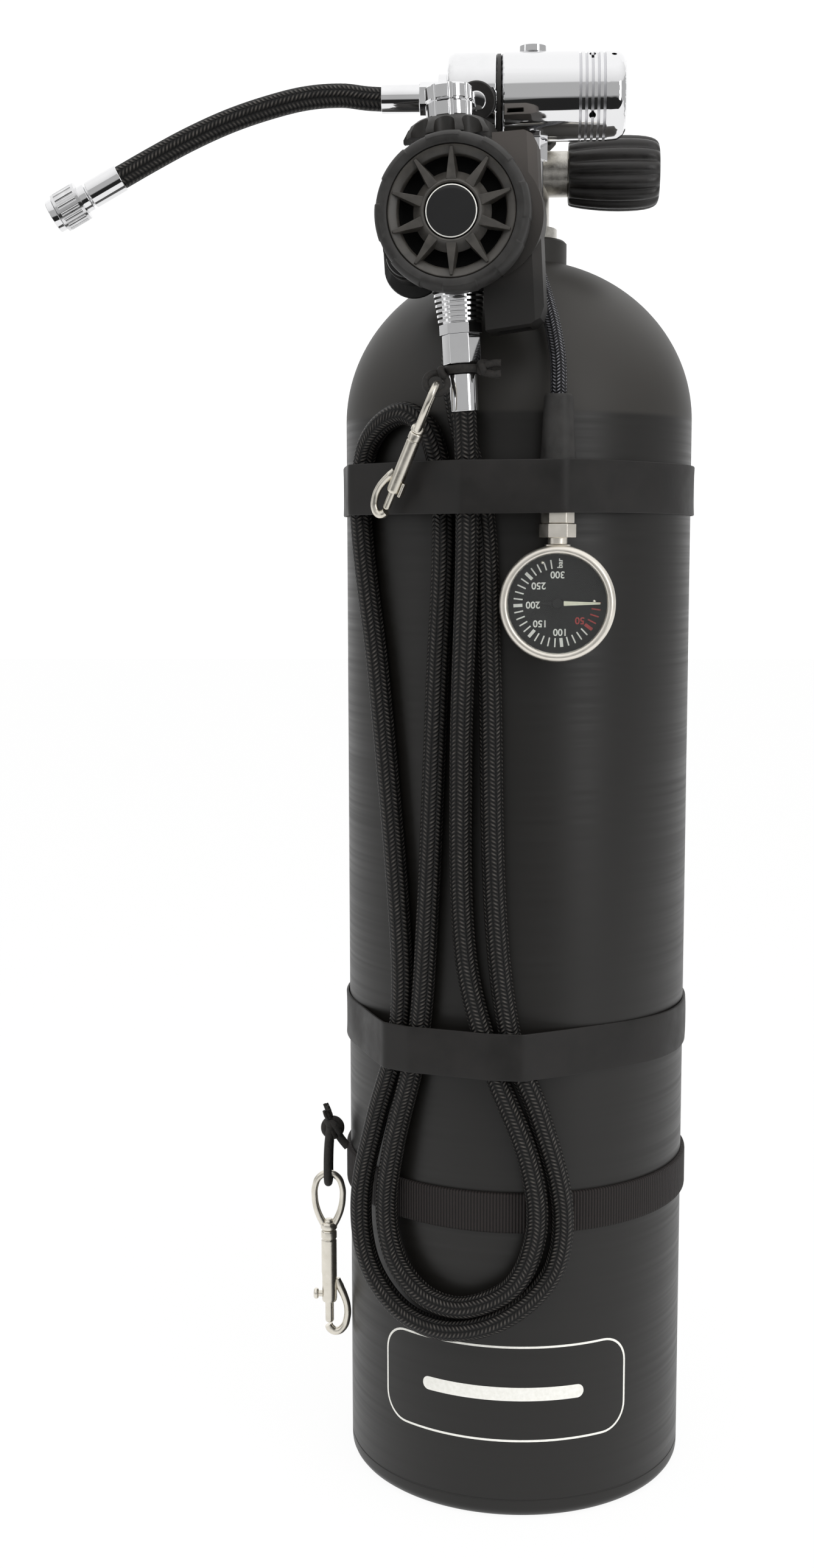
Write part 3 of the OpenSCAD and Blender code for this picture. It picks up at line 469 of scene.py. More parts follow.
def placed(piece, matrix):
    """Puts a piece drawn at the origin in its place, inside its mesh."""
    hold(piece)
    piece.matrix_world = matrix
    bpy.ops.object.transform_apply()
    return piece


def copied(piece, name):
    """A copy of a piece with its own mesh."""
    twin = bpy.data.objects.new(name, piece.data.copy())
    bpy.context.collection.objects.link(twin)
    return twin


def joined(name, *pieces):
    """Several parts of one piece made one object."""
    hold(pieces[0])
    for piece in pieces[1:]:
        piece.select_set(True)
    bpy.ops.object.join()
    bpy.context.object.name = name
    return bpy.context.object


def dressed(piece, material, solid, smooth=38, stands=True):
    """Gives a piece its finish and the body of a solid, and hides the solid when the piece stands in for it.
    """
    hold(piece)
    piece.data.materials.clear()
    piece.data.materials.append(material)
    bpy.ops.object.shade_smooth_by_angle(angle=math.radians(smooth))
    # Flat faces keep a flat shine up to their broken edges
    modified(piece, "WEIGHTED_NORMAL", keep_sharp=True)
    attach(piece, body_of_node[solid])
    if stands:
        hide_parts(solid)
    return piece


def from_solid(solid, material, edge=0.3, angle=32, segments=2):
    """A merged copy of a solid with its edges broken, in its finish."""
    piece = copied(frame["nodes"][solid], solid + "_finished")
    hold(piece)
    bpy.ops.object.mode_set(mode="EDIT")
    bpy.ops.mesh.select_all(action="SELECT")
    bpy.ops.mesh.remove_doubles(threshold=WELD)
    bpy.ops.mesh.dissolve_limited(angle_limit=math.radians(0.6))
    bpy.ops.object.mode_set(mode="OBJECT")
    softened(piece, edge, segments, angle)
    return dressed(piece, material, solid)


def keep_solid(material, *solids):
    """Inner solids stay as they are, in their finish."""
    for solid in solids:
        slots = frame["nodes"][solid].data.materials
        slots.clear()
        slots.append(material)


# Camera at the photograph's place
def look():
    """Stands the camera where the cylinder's outline has the photograph's size and slant."""
    place = (0, -0.9874969, 0.4854119)
    tilt, yaw, roll = (math.radians(a) for a in (7.1467, -3.3390, -0.14225))
    ahead = Vector((math.sin(yaw) * math.cos(tilt), math.cos(yaw) * math.cos(tilt), -math.sin(tilt)))
    level = Vector((math.cos(yaw), -math.sin(yaw), 0))
    up = level.cross(ahead)
    right = math.cos(roll) * level + math.sin(roll) * up
    top = -math.sin(roll) * level + math.cos(roll) * up
    lens = bpy.data.cameras.new("camera")
    lens.lens = 43.446
    lens.sensor_width = 36
    lens.clip_start = 0.05
    camera = bpy.data.objects.new("camera", lens)
    facing = Matrix([right, top, -ahead]).transposed().to_4x4()
    camera.matrix_world = Matrix.Translation(place) @ facing
    bpy.context.collection.objects.link(camera)
    bpy.context.scene.camera = camera


look()

# Hoses, along the same points as their solids. The long hose's points are an angle from
# the front, a height and a lift off the cylinder.
LONG_ROUTE = [
    (-19, 603, -16), (-20, 572, -4), (-17, 545, 0), (-10, 500, 0), (-8, 430, 0), (-6, 310, 0),
    (-1, 246, 0), (7, 212, 1), (14, 165, 2.6), (11, 132, 2.6), (-3, 109, 2.6), (-20, 100, 2.6),
    (-36, 105, 3), (-48, 125, 5.5), (-51, 158, 6.5), (-46, 202, 2.5), (-38, 246, 0), (-37, 290, 0),
    (-46, 420, 0), (-55, 500, 0), (-52, 531, 0), (-44, 544, 0), (-34, 548, 0), (-26, 537, 0),
    (-22, 505, 0), (-24, 420, 0), (-28, 290, 0), (-31, 243, 0), (-39, 190, 2), (-42, 155, 2.6),
    (-38, 130, 2.6), (-27, 115, 2.6), (-14, 113, 2.6), (0, 126, 2.6), (6.5, 155, 2.6), (4, 190, 2),
    (-7, 237, 0), (-15, 290, 0), (-16, 380, 2.5), (-13.5, 476, 8), (-13, 515, 11),
]
GAUGE_ROUTE = [(6.3, -64, 630), (7.5, -68.5, 618), (11.2, -76, 605), (15.6, -85.5, 588), (18.2, -94, 571)]
INFLATOR_ROUTE = [(-84, -63, 697), (-101, -63, 696), (-119, -63, 692), (-138, -63, 686),
                  (-157, -63, 678), (-175, -63, 669)]


def on_wall(spot):
    """A point of the long hose's route in mm."""
    angle, height, lift = spot
    reach = TANK_R + HOSE_D / 2 + lift
    return (reach * math.sin(math.radians(angle)), -reach * math.cos(math.radians(angle)), height)


def smooth_line(points, step):
    """A smooth line through points, then even steps along it, all in mm."""
    spots = [Vector(p) for p in points]
    last = len(spots) - 1
    slopes = []
    for i, spot in enumerate(spots):
        before, after = spots[max(0, i - 1)], spots[min(last, i + 1)]
        slopes.append((after - before) / ((after - spot).length + (spot - before).length))
    fine = []
    for a, b, ma, mb in zip(spots, spots[1:], slopes, slopes[1:]):
        span = (b - a).length
        pieces = max(4, int(span))
        for k in range(pieces):
            t = k / pieces
            fine.append((2 * t**3 - 3 * t**2 + 1) * a + (t**3 - 2 * t**2 + t) * span * ma
                        + (3 * t**2 - 2 * t**3) * b + (t**3 - t**2) * span * mb)
    fine.append(spots[-1])
    lengths = [0.0]
    for a, b in zip(fine, fine[1:]):
        lengths.append(lengths[-1] + (b - a).length)
    count = max(8, round(lengths[-1] / step))
    even, i = [], 0
    for k in range(count + 1):
        target = lengths[-1] * k / count
        while i < len(fine) - 2 and lengths[i + 1] < target:
            i += 1
        part = (target - lengths[i]) / (lengths[i + 1] - lengths[i])
        even.append(fine[i].lerp(fine[i + 1], part))
    return even, lengths[-1] * MM


def hose(name, points, diameter, step, pitch, colours, solid):
    """A hose along its route, with a braid cover made to the length that the route has. Its thread
    pitch and the step between its points are in mm."""
    line, length = smooth_line(points, step)
    curve = bpy.data.curves.new(name, "CURVE")
    curve.dimensions = "3D"
    curve.bevel_depth = diameter / 2 * MM
    curve.bevel_resolution = 8
    curve.use_fill_caps = True
    spline = curve.splines.new("POLY")
    spline.points.add(len(line) - 1)
    for knot, spot in zip(spline.points, line):
        knot.co = (*(spot * MM), 1)
    piece = bpy.data.objects.new(name, curve)
    bpy.context.collection.objects.link(piece)
    curve.materials.append(braid(name + "_cover", length, pitch, *colours))
    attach(piece, body_of_node[solid])
    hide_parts(solid)
    return piece


# Nylon braid over rubber hose: black, with a painted glint on the thread crowns. The colours are the
# painted shade in the gaps, the threads' and the painted glints', and the last value is the roughness.
NYLON = ("#020202", "#0d0c0c", "#66615c", 0.5)
# Tight braid of the thin high-pressure hose, greyer.
FINE_NYLON = ("#030304", "#1f1f22", "#a3a3aa", 0.42)

long_line = [(PORT_X, FIRST_Y, FERRULE_FOOT), (PORT_X - 1, FIRST_Y - 3, FERRULE_FOOT - 17)]
long_line += [on_wall(p) for p in LONG_ROUTE]
long_line += [tuple((AT_STAGE @ Vector((0, 0, z * MM))) / MM) for z in (-92, -86)]
gauge_line = [(GAUGE_PORT_X, FIRST_Y, FERRULE_FOOT)] + GAUGE_ROUTE
gauge_line += [(STEM_X, STEM_Y, PROTECTOR_TOP), (STEM_X, STEM_Y, PROTECTOR_FOOT)]
inflator_line = [(TURRET_X - 31, FIRST_Y, OUTLET_Z), (TURRET_X - 38, FIRST_Y, OUTLET_Z + 0.5)]
inflator_line += INFLATOR_ROUTE + [(-190, FIRST_Y, OUTLET_Z - 34)]


# Air cylinder
def cylinder():
    """The wall with a rounded foot and a trim groove, a domed shoulder and the neck."""
    edge, groove = 6, 0.3
    stations = [(0, 70), (0, TANK_R - edge)]
    for degrees in range(-75, 1, 15):
        angle = math.radians(degrees)
        stations.append((edge + edge * math.sin(angle), TANK_R - edge + edge * math.cos(angle)))
    stations += [(9.2, TANK_R), (9.5, TANK_R - groove), (10.1, TANK_R - groove), (10.4, TANK_R)]
    stations += [(z, TANK_R) for z in (150, 300, 450, SHOULDER_Z)]
    steps = 32
    neck_angle = math.acos(NECK_R / TANK_R)
    for i in range(1, steps + 1):
        angle = neck_angle * i / steps
        stations.append((SHOULDER_Z + DOME_H * math.sin(angle), TANK_R * math.cos(angle)))
    stations += [(NECK_TOP - 1.2, NECK_R), (NECK_TOP, NECK_R - 1.2), (NECK_TOP, 12.6)]
    dressed(turned("cylinder_body", stations, sides=160), satin_paint, "cylinder_shell")


def wrap_on_cylinder(piece, centre_degrees, radius):
    """Bends a flat piece, drawn with X along and Z up, round the cylinder."""
    for point in piece.data.vertices:
        angle = point.co.x / (TANK_R * MM) + math.radians(centre_degrees)
        reach = radius * MM - point.co.y
        point.co = (reach * math.sin(angle), -reach * math.cos(angle), point.co.z)


def plain_label():
    """A bare painted frame with a bar in it, low on the cylinder's front."""
    frame_wide, frame_tall, line = 134, 50, 1.1
    bar_wide, bar_tall = 84, 7
    middle_z, middle_turn = 66, -4

    def plate(name, width, tall, corner):
        """A flat plate with round corners, left in edit mode."""
        clear_selection()
        bpy.ops.mesh.primitive_plane_add(size=1, rotation=(math.pi / 2, 0, 0))
        piece = bpy.context.object
        piece.name = name
        piece.scale = (width * MM, tall * MM, 1)
        bpy.ops.object.transform_apply()
        bpy.ops.object.mode_set(mode="EDIT")
        bpy.ops.mesh.select_all(action="SELECT")
        bpy.ops.mesh.bevel(offset=corner * MM, segments=10, affect="VERTICES")
        bpy.ops.mesh.select_all(action="SELECT")
        return piece

    def wrapped(piece, width):
        """Cuts a plate into 30 upright strips and lays it on the wall."""
        for k in range(-14, 15):
            bpy.ops.mesh.select_all(action="SELECT")
            bpy.ops.mesh.bisect(plane_co=(k * width / 30 * MM, 0, 0), plane_no=(1, 0, 0))
        bpy.ops.object.mode_set(mode="OBJECT")
        wrap_on_cylinder(piece, middle_turn, TANK_R + 0.06)
        piece.data.transform(shift(0, 0, middle_z))
        return piece

    edge = plate("label_frame", frame_wide, frame_tall, corner=14)
    bpy.ops.mesh.inset(thickness=line * MM)
    bpy.ops.mesh.delete(type="FACE")
    edge = wrapped(edge, frame_wide)
    bar = wrapped(plate("label_bar", bar_wide, bar_tall, corner=3.4), bar_wide)
    dressed(joined("plain_label", edge, bar), white_ink, "cylinder_shell", stands=False)


cylinder()
plain_label()


# Valve and screwed joint
def hand_knob():
    """A long grip with rounded ribs and flutes between them."""
    stations = [(24.4, 13), (24.4, 15), (25.4, 15.7), (31, 16.8), (40, 17.9), (50, 18.4), (60, 18.1),
                (66.2, 17.1), (69.2, 15.3), (70, 13.2), (70, 8), (69.2, 7.2), (64.5, 6.8)]
    flutes, columns = 14, 8
    knob = turned("valve_knob_grip", stations, sides=flutes * columns)

    def column(point):
        """Which of a flute's columns a point is in; the first is the flute's middle."""
        turns = math.degrees(math.atan2(point.co.y, point.co.x)) / 360
        return round(turns * flutes * columns) % columns

    def outside(point):
        return point.co.xy.length > 14.4 * MM and 25 * MM < point.co.z < 69.6 * MM

    for places, depth in (((0,), 0.9), ((1, 7), 0.94), ((2, 6), 0.985), ((4,), 1.008)):
        pick(knob, "VERT", lambda p: column(p) in places and outside(p))
        bpy.ops.transform.resize(value=(depth, depth, 1), center_override=(0, 0, 0))
    modified(knob, "SUBSURF", levels=1, render_levels=1)
    dressed(placed(knob, AT_VALVE @ turn(90, "Y")), knob_rubber, "valve_knob", smooth=60)


hand_knob()
from_solid("valve_body", blasted_chrome, 0.6)
from_solid("valve_bonnet", bright_steel, 0.4)
from_solid("knob_nut", bright_steel, 0.3)
from_solid("joint_wheel", moulded_nylon, 0.8)
from_solid("joint_screw", chrome, 0.3)
keep_solid(silicone, "neck_oring", "joint_oring", "exhaust_valve")
keep_solid(brass, "dip_tube", "seat_plug", "valve_spindle", "demand_poppet", "pressure_tube")

# First stage and the fittings of the hoses
from_solid("first_stage_body", grooved_chrome, 0.45, angle=45, segments=3)
from_solid("first_stage_turret", chrome, 0.25, angle=45)
from_solid("turret_seal", moulded_nylon, 0.1)
for name in ("high_pressure_plug", "long_hose_fitting", "gauge_hose_fitting",
             "inflator_hose_fitting", "stage_hose_fitting"):
    from_solid(name, chrome, 0.45)
from_solid("low_pressure_plug", knob_rubber, 0.8, segments=3)
boss = turned("low_pressure_plug_boss", [(21, 4.4), (22.8, 4.4), (23.2, 4), (23.3, 3), (23.3, 1)], sides=48)
placed(boss, AT_FIRST @ shift(PORT_X, 0, 0) @ turn(PLUG_DIP, "X") @ FACING_FRONT)
dressed(boss, chrome, "low_pressure_plug", stands=False)


# Second stage
def cover_ring():
    """The soft ring round the cover, with raised grip pads round its edge."""
    stations = [(13, 33.4), (13, 34.4), (15, 34.6), (22.2, 34.6), (24.4, 34.3), (25.9, 33.3), (26.6, 31.9),
                (26.5, 30.2), (25.7, 29.1), (22.1, 28.9), (22.1, 29.9), (18.35, 29.9), (18.35, 33.4)]
    pad_step, pad_width, pad_turn = 45, 27, 10
    ring = turned("front_cover_ring", stations, sides=144, ring=True)

    def on_pad(face):
        outside = face.center.xy.length > 32.5 * MM and face.center.z > 15 * MM and face.normal.z > -0.1
        around = math.degrees(math.atan2(face.center.y, face.center.x)) + pad_turn
        return outside and around % pad_step < pad_width

    pick(ring, "FACE", on_pad)
    bpy.ops.mesh.inset(thickness=0.5 * MM)
    bpy.ops.transform.shrink_fatten(value=0.45 * MM)
    bpy.ops.object.mode_set(mode="OBJECT")
    softened(ring, 0.2, 2, 40)
    dressed(placed(ring, AT_COVER), ring_rubber, "front_ring", smooth=45)


def cover_grille():
    """A rim and a hub joined by ten spokes that narrow like rays, with open windows between them."""
    spokes = 10
    share = 360 / spokes
    rim_stations = [(25, 28.8), (25.3, 28.4), (25.2, 27.8), (23.6, 25.2), (22.6, 24.4), (20.4, 24.2),
                    (20.4, 28.8)]
    rim = turned("front_cover_grille", rim_stations, sides=120, ring=True)
    hub_stations = [(25.2, 12.15), (25.9, 12.4), (26.1, 13), (25.7, 13.9), (24.2, 14.9), (22.6, 16.6),
                    (21.6, 17.6), (20.6, 17.6), (20.6, 12.15)]
    hub = turned("grille_hub", hub_stations, sides=96, ring=True)
    root, tip, crest = 13.6, 27.6, 25.9
    rib = block("spoke", (root, -3.3, 20.6), (tip, 3.3, crest))
    pick(rib, "FACE", lambda f: f.normal.x > 0.9)
    bpy.ops.transform.resize(value=(1, 0.26, 1), center_override=(tip * MM, 0, 23 * MM))
    pick(rib, "FACE", lambda f: f.normal.z > 0.9)
    bpy.ops.transform.resize(value=(1, 0.7, 1), center_override=(20 * MM, 0, crest * MM))
    bpy.ops.object.mode_set(mode="OBJECT")
    softened(rib, 0.25, 2)
    ribs = []
    for k in range(spokes):
        ribs.append(placed(copied(rib, "spoke_%d" % k), turn(share * (k + 0.5), "Z")))
    bpy.data.objects.remove(rib)
    whole = joined("front_cover_grille", rim, hub, *ribs)
    dressed(placed(whole, AT_COVER @ turn(-3, "Z")), grille_nylon, "front_grille", smooth=40)


def purge_cap():
    """A shallow dome with a white line printed round its edge."""
    cap_stations = [(20, 11.95), (24.9, 11.95), (25.3, 11.8), (25.55, 11.3), (25.8, 9), (26, 6), (26.1, 3),
                    (26.12, 1)]
    cap = turned("purge_cap", cap_stations, sides=96)
    dressed(placed(cap, AT_COVER), gloss_cap, "purge_button", smooth=50)
    line_stations = [(25.45, 11.55), (25.56, 11.42), (25.6, 11.1), (25.5, 11.05)]
    line = turned("purge_cap_line", line_stations, sides=96, ring=True)
    dressed(placed(line, AT_COVER), white_ink, "purge_button", stands=False)


def diaphragm():
    """A rubber ring clamped at its rim, and in its middle a plate that goes back with the purge cap."""
    ring_stations = [(17.5, 13.8), (17.5, 29.6), (18.3, 29.6), (18.3, 26.6), (18.9, 25.9), (19.2, 24.6),
                     (18.9, 23.3), (18.2, 22.4), (18.2, 13.8)]
    ring = turned("diaphragm_ring", ring_stations, sides=96, ring=True)
    dressed(placed(ring, AT_COVER), shaded_diaphragm_rubber, "diaphragm", smooth=50)
    plate_stations = [(17.5, 13.4), (18.5, 13.4), (18.9, 13), (18.9, 4), (19.3, 3.4), (19.3, 1)]
    plate = turned("diaphragm_plate", plate_stations)
    dressed(placed(plate, AT_COVER), shaded_diaphragm_rubber, "diaphragm", smooth=50, stands=False)
    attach(plate, body_of_node["purge_button"])


def mouthpiece():
    """A tube drawn wide into an oval, with a lip at its end and two bite tabs."""
    stations = [(22, 8.1), (22, 10.2), (23.4, 10.7), (27, 10.3), (31, 10.6), (36, 11.2), (39.2, 12.4),
                (40.4, 14.4), (41.6, 14.8), (42.7, 14), (43, 9.5), (42.9, 7.2), (40, 6.2), (34.2, 6.2),
                (34.2, 8.1)]
    widening, lip_widening = 10, 3.2
    piece = turned("mouthpiece_lips", stations, sides=48, ring=True)

    def on_lip(point):
        return point.co.z > 39.8 * MM and point.co.xy.length > 12 * MM

    for side in (1, -1):
        pick(piece, "VERT", lambda p: p.co.y * side > 0.01 * MM)
        bpy.ops.transform.translate(value=(0, widening * side * MM, 0))
        pick(piece, "VERT", lambda p: p.co.y * side > widening * MM and on_lip(p))
        bpy.ops.transform.translate(value=(0, lip_widening * side * MM, 0))
    bpy.ops.object.mode_set(mode="OBJECT")
    tabs = []
    for low in (12, -23):
        tab = block("bite_tab", (-3.4, low, 41.5), (3.4, low + 11, 47))
        tabs.append(softened(tab, 1.6, 3))
    whole = joined("mouthpiece_lips", piece, *tabs)
    placed(whole, AT_STAGE @ shift(MOUTH_X, 0, 0) @ turn(-90, "X"))
    dressed(whole, silicone, "mouthpiece", smooth=50)


cover_ring()
cover_grille()
purge_cap()
diaphragm()
mouthpiece()
from_solid("stage_case", moulded_nylon, 0.7)
from_solid("stage_barrel", chrome, 0.2)
from_solid("adjuster_knob", chrome, 0.35, segments=3)
from_solid("flow_collar", moulded_nylon, 0.7, segments=3)
from_solid("exhaust_tee", tee_nylon, 1.6, segments=4)
from_solid("mouthpiece_tie", moulded_nylon, 0.3)
keep_solid(bright_steel, "demand_lever")


# Pressure gauge
def gauge():
    """The rounded bezel, and the case, stem, swivel and window as they are in the solids."""
    stations = [(3.1, 24), (3.1, 26.7), (3.6, 27), (5.9, 27), (7, 26.5), (7.8, 25.5), (8, 24.6), (7.7, 23.8),
                (6.9, 23.1), (4.1, 23), (4, 24)]
    bezel = turned("gauge_bezel_rim", stations, sides=120, ring=True)
    dressed(placed(bezel, AT_GAUGE), satin_nickel, "gauge_bezel", smooth=50)
    from_solid("gauge_case", satin_nickel, 0.6)
    from_solid("gauge_stem", satin_nickel, 0.45)
    from_solid("gauge_swivel", satin_nickel, 0.45)
    from_solid("gauge_lens", window_glass, 0.3)
    keep_solid(dial_card, "gauge_dial")


def dial_angle(bar):
    """The scale runs clockwise, and its zero is a little above the needle's stop."""
    degrees_per_bar, zero = 0.935, 10
    return math.radians(zero - degrees_per_bar * bar)


def on_dial(reach, angle, height):
    """A place on the dial, at a distance from its middle."""
    return shift(reach * math.cos(angle), reach * math.sin(angle), height)


def dial_print():
    """Ticks every 10 bar and plain numbers every 50, printed upside down as the gauge hangs."""
    white, red = [], []
    low_bar = 50
    for bar in range(10, 300, 10):
        half = 0.75 if bar % 50 == 0 else 0.32
        tick = block("tick", (16.2, -half, 0), (20.4, half, 0.08))
        placed(tick, turn(math.degrees(dial_angle(bar)), "Z"))
        (red if bar <= low_bar else white).append(tick)
    reaches = {"50": 13.2, "100": 13.4, "150": 12.2, "200": 11.3, "250": 12, "300": 13.4}
    words = [(word, 4.5, reach, 180, dial_angle(int(word))) for word, reach in reaches.items()]
    words.append(("bar", 3.4, 18.6, 90, math.radians(86)))
    for word, size, reach, spin, angle in words:
        clear_selection()
        bpy.ops.object.text_add()
        text = bpy.context.object
        text.data.body = word
        text.data.size = size * MM
        text.data.align_x = "CENTER"
        text.data.align_y = "CENTER"
        text.data.extrude = 0.04 * MM
        text.data.offset = 0.09 * MM
        bpy.ops.object.convert(target="MESH")
        text = bpy.context.object
        placed(text, on_dial(reach, angle, 0.04) @ turn(spin, "Z"))
        (red if word == str(low_bar) else white).append(text)
    for name, parts, ink in (("dial_white_print", white, white_ink), ("dial_red_print", red, red_ink)):
        whole = joined(name, *parts)
        dressed(placed(whole, AT_GAUGE @ shift(0, 0, 0.02)), ink, "gauge_dial", stands=False)
    pins = []
    for reach, degrees in ((17.3, 3), (20.2, 110)):
        pin = turned("dial_pin", [(0, 0.9), (0.6, 0.9), (1, 0.6), (1.15, 0.2)], sides=20)
        pins.append(placed(pin, on_dial(reach, math.radians(degrees), 0)))
    dressed(placed(joined("dial_pins", *pins), AT_GAUGE), bright_steel, "gauge_dial", stands=False)


def pointed(piece, end, share, height):
    """Narrows the end face of a flat bar, at a place along X in mm."""
    pick(piece, "FACE", lambda f: f.normal.x * end > 0.9 * abs(end))
    bpy.ops.transform.resize(value=(1, share, 1), center_override=(end * MM, 0, height * MM))
    bpy.ops.object.mode_set(mode="OBJECT")
    return softened(piece, 0.12, 2)


def needle():
    """A cream blade, and a black hub with a short tail."""
    tip, tail_end = 20, -8.4
    blade = pointed(block("needle_blade", (3, -1.1, 1.5), (tip, 1.1, 2.1)), tip, 0.42, 1.8)
    dressed(placed(blade, AT_GAUGE), cream_paint, "gauge_needle", stands=False)
    hub_stations = [(-3.2, 1), (1.2, 1), (1.2, 2.6), (2.1, 2.6), (2.5, 2.2), (2.6, 1.2)]
    hub = turned("needle_hub", hub_stations, sides=40)
    tail = pointed(block("needle_tail", (tail_end, -1.7, 1.4), (3.2, 1.7, 1.9)), tail_end, 0.3, 1.6)
    dressed(placed(joined("needle_hub", hub, tail), AT_GAUGE), dial_card, "gauge_needle")


def protector_sleeve():
    """The soft sleeve on the thin hose above the gauge."""
    bore = GAUGE_HOSE_D / 2 + 0.1
    stations = [(PROTECTOR_FOOT, bore), (PROTECTOR_FOOT, 7.8), (PROTECTOR_FOOT + 0.6, 8.2),
                (PROTECTOR_FOOT + 14, 8.2), (PROTECTOR_TOP - 1.4, 6.7), (PROTECTOR_TOP, 6.1),
                (PROTECTOR_TOP, bore)]
    sleeve = turned("hose_protector_sleeve", stations, sides=48, ring=True)
    dressed(placed(sleeve, shift(STEM_X, STEM_Y, 0)), ring_rubber, "hose_protector", smooth=50)


gauge()
dial_print()
needle()
protector_sleeve()


# Rubber bands and the strap
def band(name, middle, width, holds, solid, wave, seed):
    """A strip stretched round the cylinder and over what it holds, each a place and a radius, with
    slow waves along its length and curled edges."""
    thickness, sides = 1.5, 360
    draw = random.Random(seed)
    waves = [(draw.uniform(0.3, 1) * wave / k, draw.uniform(0, 6.28), k) for k in (2, 3, 5, 8)]
    low, high = -width / 2, width / 2
    rows = [low + 0.5 + (width - 1) * k / 6 for k in range(7)]
    section = [(low, 0.3), (low, 1.2)] + [(z, thickness) for z in rows] + [(high, 1.2), (high, 0.3)]
    section += [(z, 0.05) for z in reversed(rows)]
    strip = turned(name, [(z, TANK_R + t) for z, t in section], sides=sides, ring=True)
    # How far out the stretched strip stands in each direction
    supports = []
    for k in range(sides):
        nx, ny = math.cos(math.radians(k)), math.sin(math.radians(k))
        supports.append((nx, ny, max([TANK_R + 0.1] + [x * nx + y * ny + r for x, y, r in holds])))

    def reach(angle):
        """The strip's distance from the axis, as the nearest of the lines that bound it."""
        dx, dy = math.cos(angle), math.sin(angle)
        return min(s / (nx * dx + ny * dy) for nx, ny, s in supports if nx * dx + ny * dy > 0.5)

    known = {}
    for point in strip.data.vertices:
        angle = math.atan2(point.co.y, point.co.x)
        key = round(math.degrees(angle))
        if key not in known:
            known[key] = reach(angle)
        thick = point.co.xy.length / MM - TANK_R
        edge = abs(point.co.z / MM) / high
        lift = sum(a * math.sin(k * angle + p) for a, p, k in waves)
        curl = 0.35 * edge**3 * math.sin(7 * angle + seed)
        wide = (known[key] + thick + curl) * MM
        point.co = (wide * math.cos(angle), wide * math.sin(angle),
                    point.co.z + (middle + lift) * MM)
    dressed(strip, strip_rubber, solid, smooth=50)


def hoses_at(*places):
    """The runs of hose under a band, each at an angle and a lift off the wall."""
    spots = [on_wall((angle, 0, lift)) for angle, lift in places]
    return [(x, y, HOSE_D / 2 + 0.3) for x, y, _ in spots]


def webbing_strap():
    """A woven strap with soft edges."""
    inside, outside = TANK_R + 0.1, STRAP_R + 0.1
    stations = [(STRAP_LOW, inside), (STRAP_LOW, outside - 0.6), (STRAP_LOW + 0.5, outside - 0.1),
                (STRAP_LOW + 1.4, outside), (STRAP_HIGH - 1.4, outside), (STRAP_HIGH - 0.5, outside - 0.1),
                (STRAP_HIGH, outside - 0.6), (STRAP_HIGH, inside)]
    strap = turned("webbing_strap_weave", stations, sides=240, ring=True)
    dressed(strap, webbing, "webbing_strap", smooth=50)


band("upper_rubber_band", middle=513, width=24.5,
     holds=hoses_at((-54.5, 0), (-22, 0), (-13, 11)) + [(STEM_X, STEM_Y, 8.5)],
     solid="upper_band", wave=0.7, seed=3)
band("lower_rubber_band", middle=241, width=23,
     holds=hoses_at((-39.5, 0), (-31.5, 0), (-7.5, 0), (1.2, 0)),
     solid="lower_band", wave=0.9, seed=5)
webbing_strap()


# Cord ties
def loop_points(middle, reach, count=12, plane=None):
    """Points round a circle in mm, turned by a matrix."""
    spots = []
    for k in range(count):
        angle = 2 * math.pi * k / count
        spot = Vector((reach * math.cos(angle), reach * math.sin(angle), 0))
        spots.append((plane.to_3x3() @ spot if plane else spot) + Vector(middle))
    return spots


def upper_tie():
    """A turn of cord round the hose fitting with a knot and two tails, and a link through the eye."""
    cord, knot_cord = 2, 1.7
    around = wire("tie_round_hose", loop_points((0, 0, -66.8), 6.9), cord, closed=True)
    turns = (loop_points((10, -3.4, -67.1), 2.4, 8, turn(70, "Y")),
             loop_points((10.2, -3.3, -66.8), 2.2, 8, turn(70, "X")))
    knots = [wire("tie_knot", points, knot_cord, closed=True) for points in turns]
    routes = ([(9, -4, -67), (12.5, -5.2, -66), (15.5, -5.4, -65.4), (18.4, -5, -65.6)],
              [(9, -3, -68), (12, -5, -69.5), (15, -5.6, -70.4), (18.2, -5.2, -70.4)])
    tails = [wire("tie_tail", route, knot_cord, [1, 1, 1, 1.1]) for route in routes]
    stage_side = joined("tie_stage_side", around, *knots, *tails)
    placed(stage_side, AT_STAGE)
    link = wire("tie_link", loop_points((-0.6, 3.45, 31), 6.5, 12, turn(48, "X")), 2.05, closed=True)
    hitch = wire("tie_hitch", loop_points((0.2, 7.5, 37), 2.2, 8, turn(40, "Y")), 2.1, closed=True)
    snap_side = placed(joined("tie_snap_side", link, hitch), AT_UPPER_SNAP)
    dressed(joined("upper_cord_tie", stage_side, snap_side), tie_cord, "upper_tie", smooth=60)


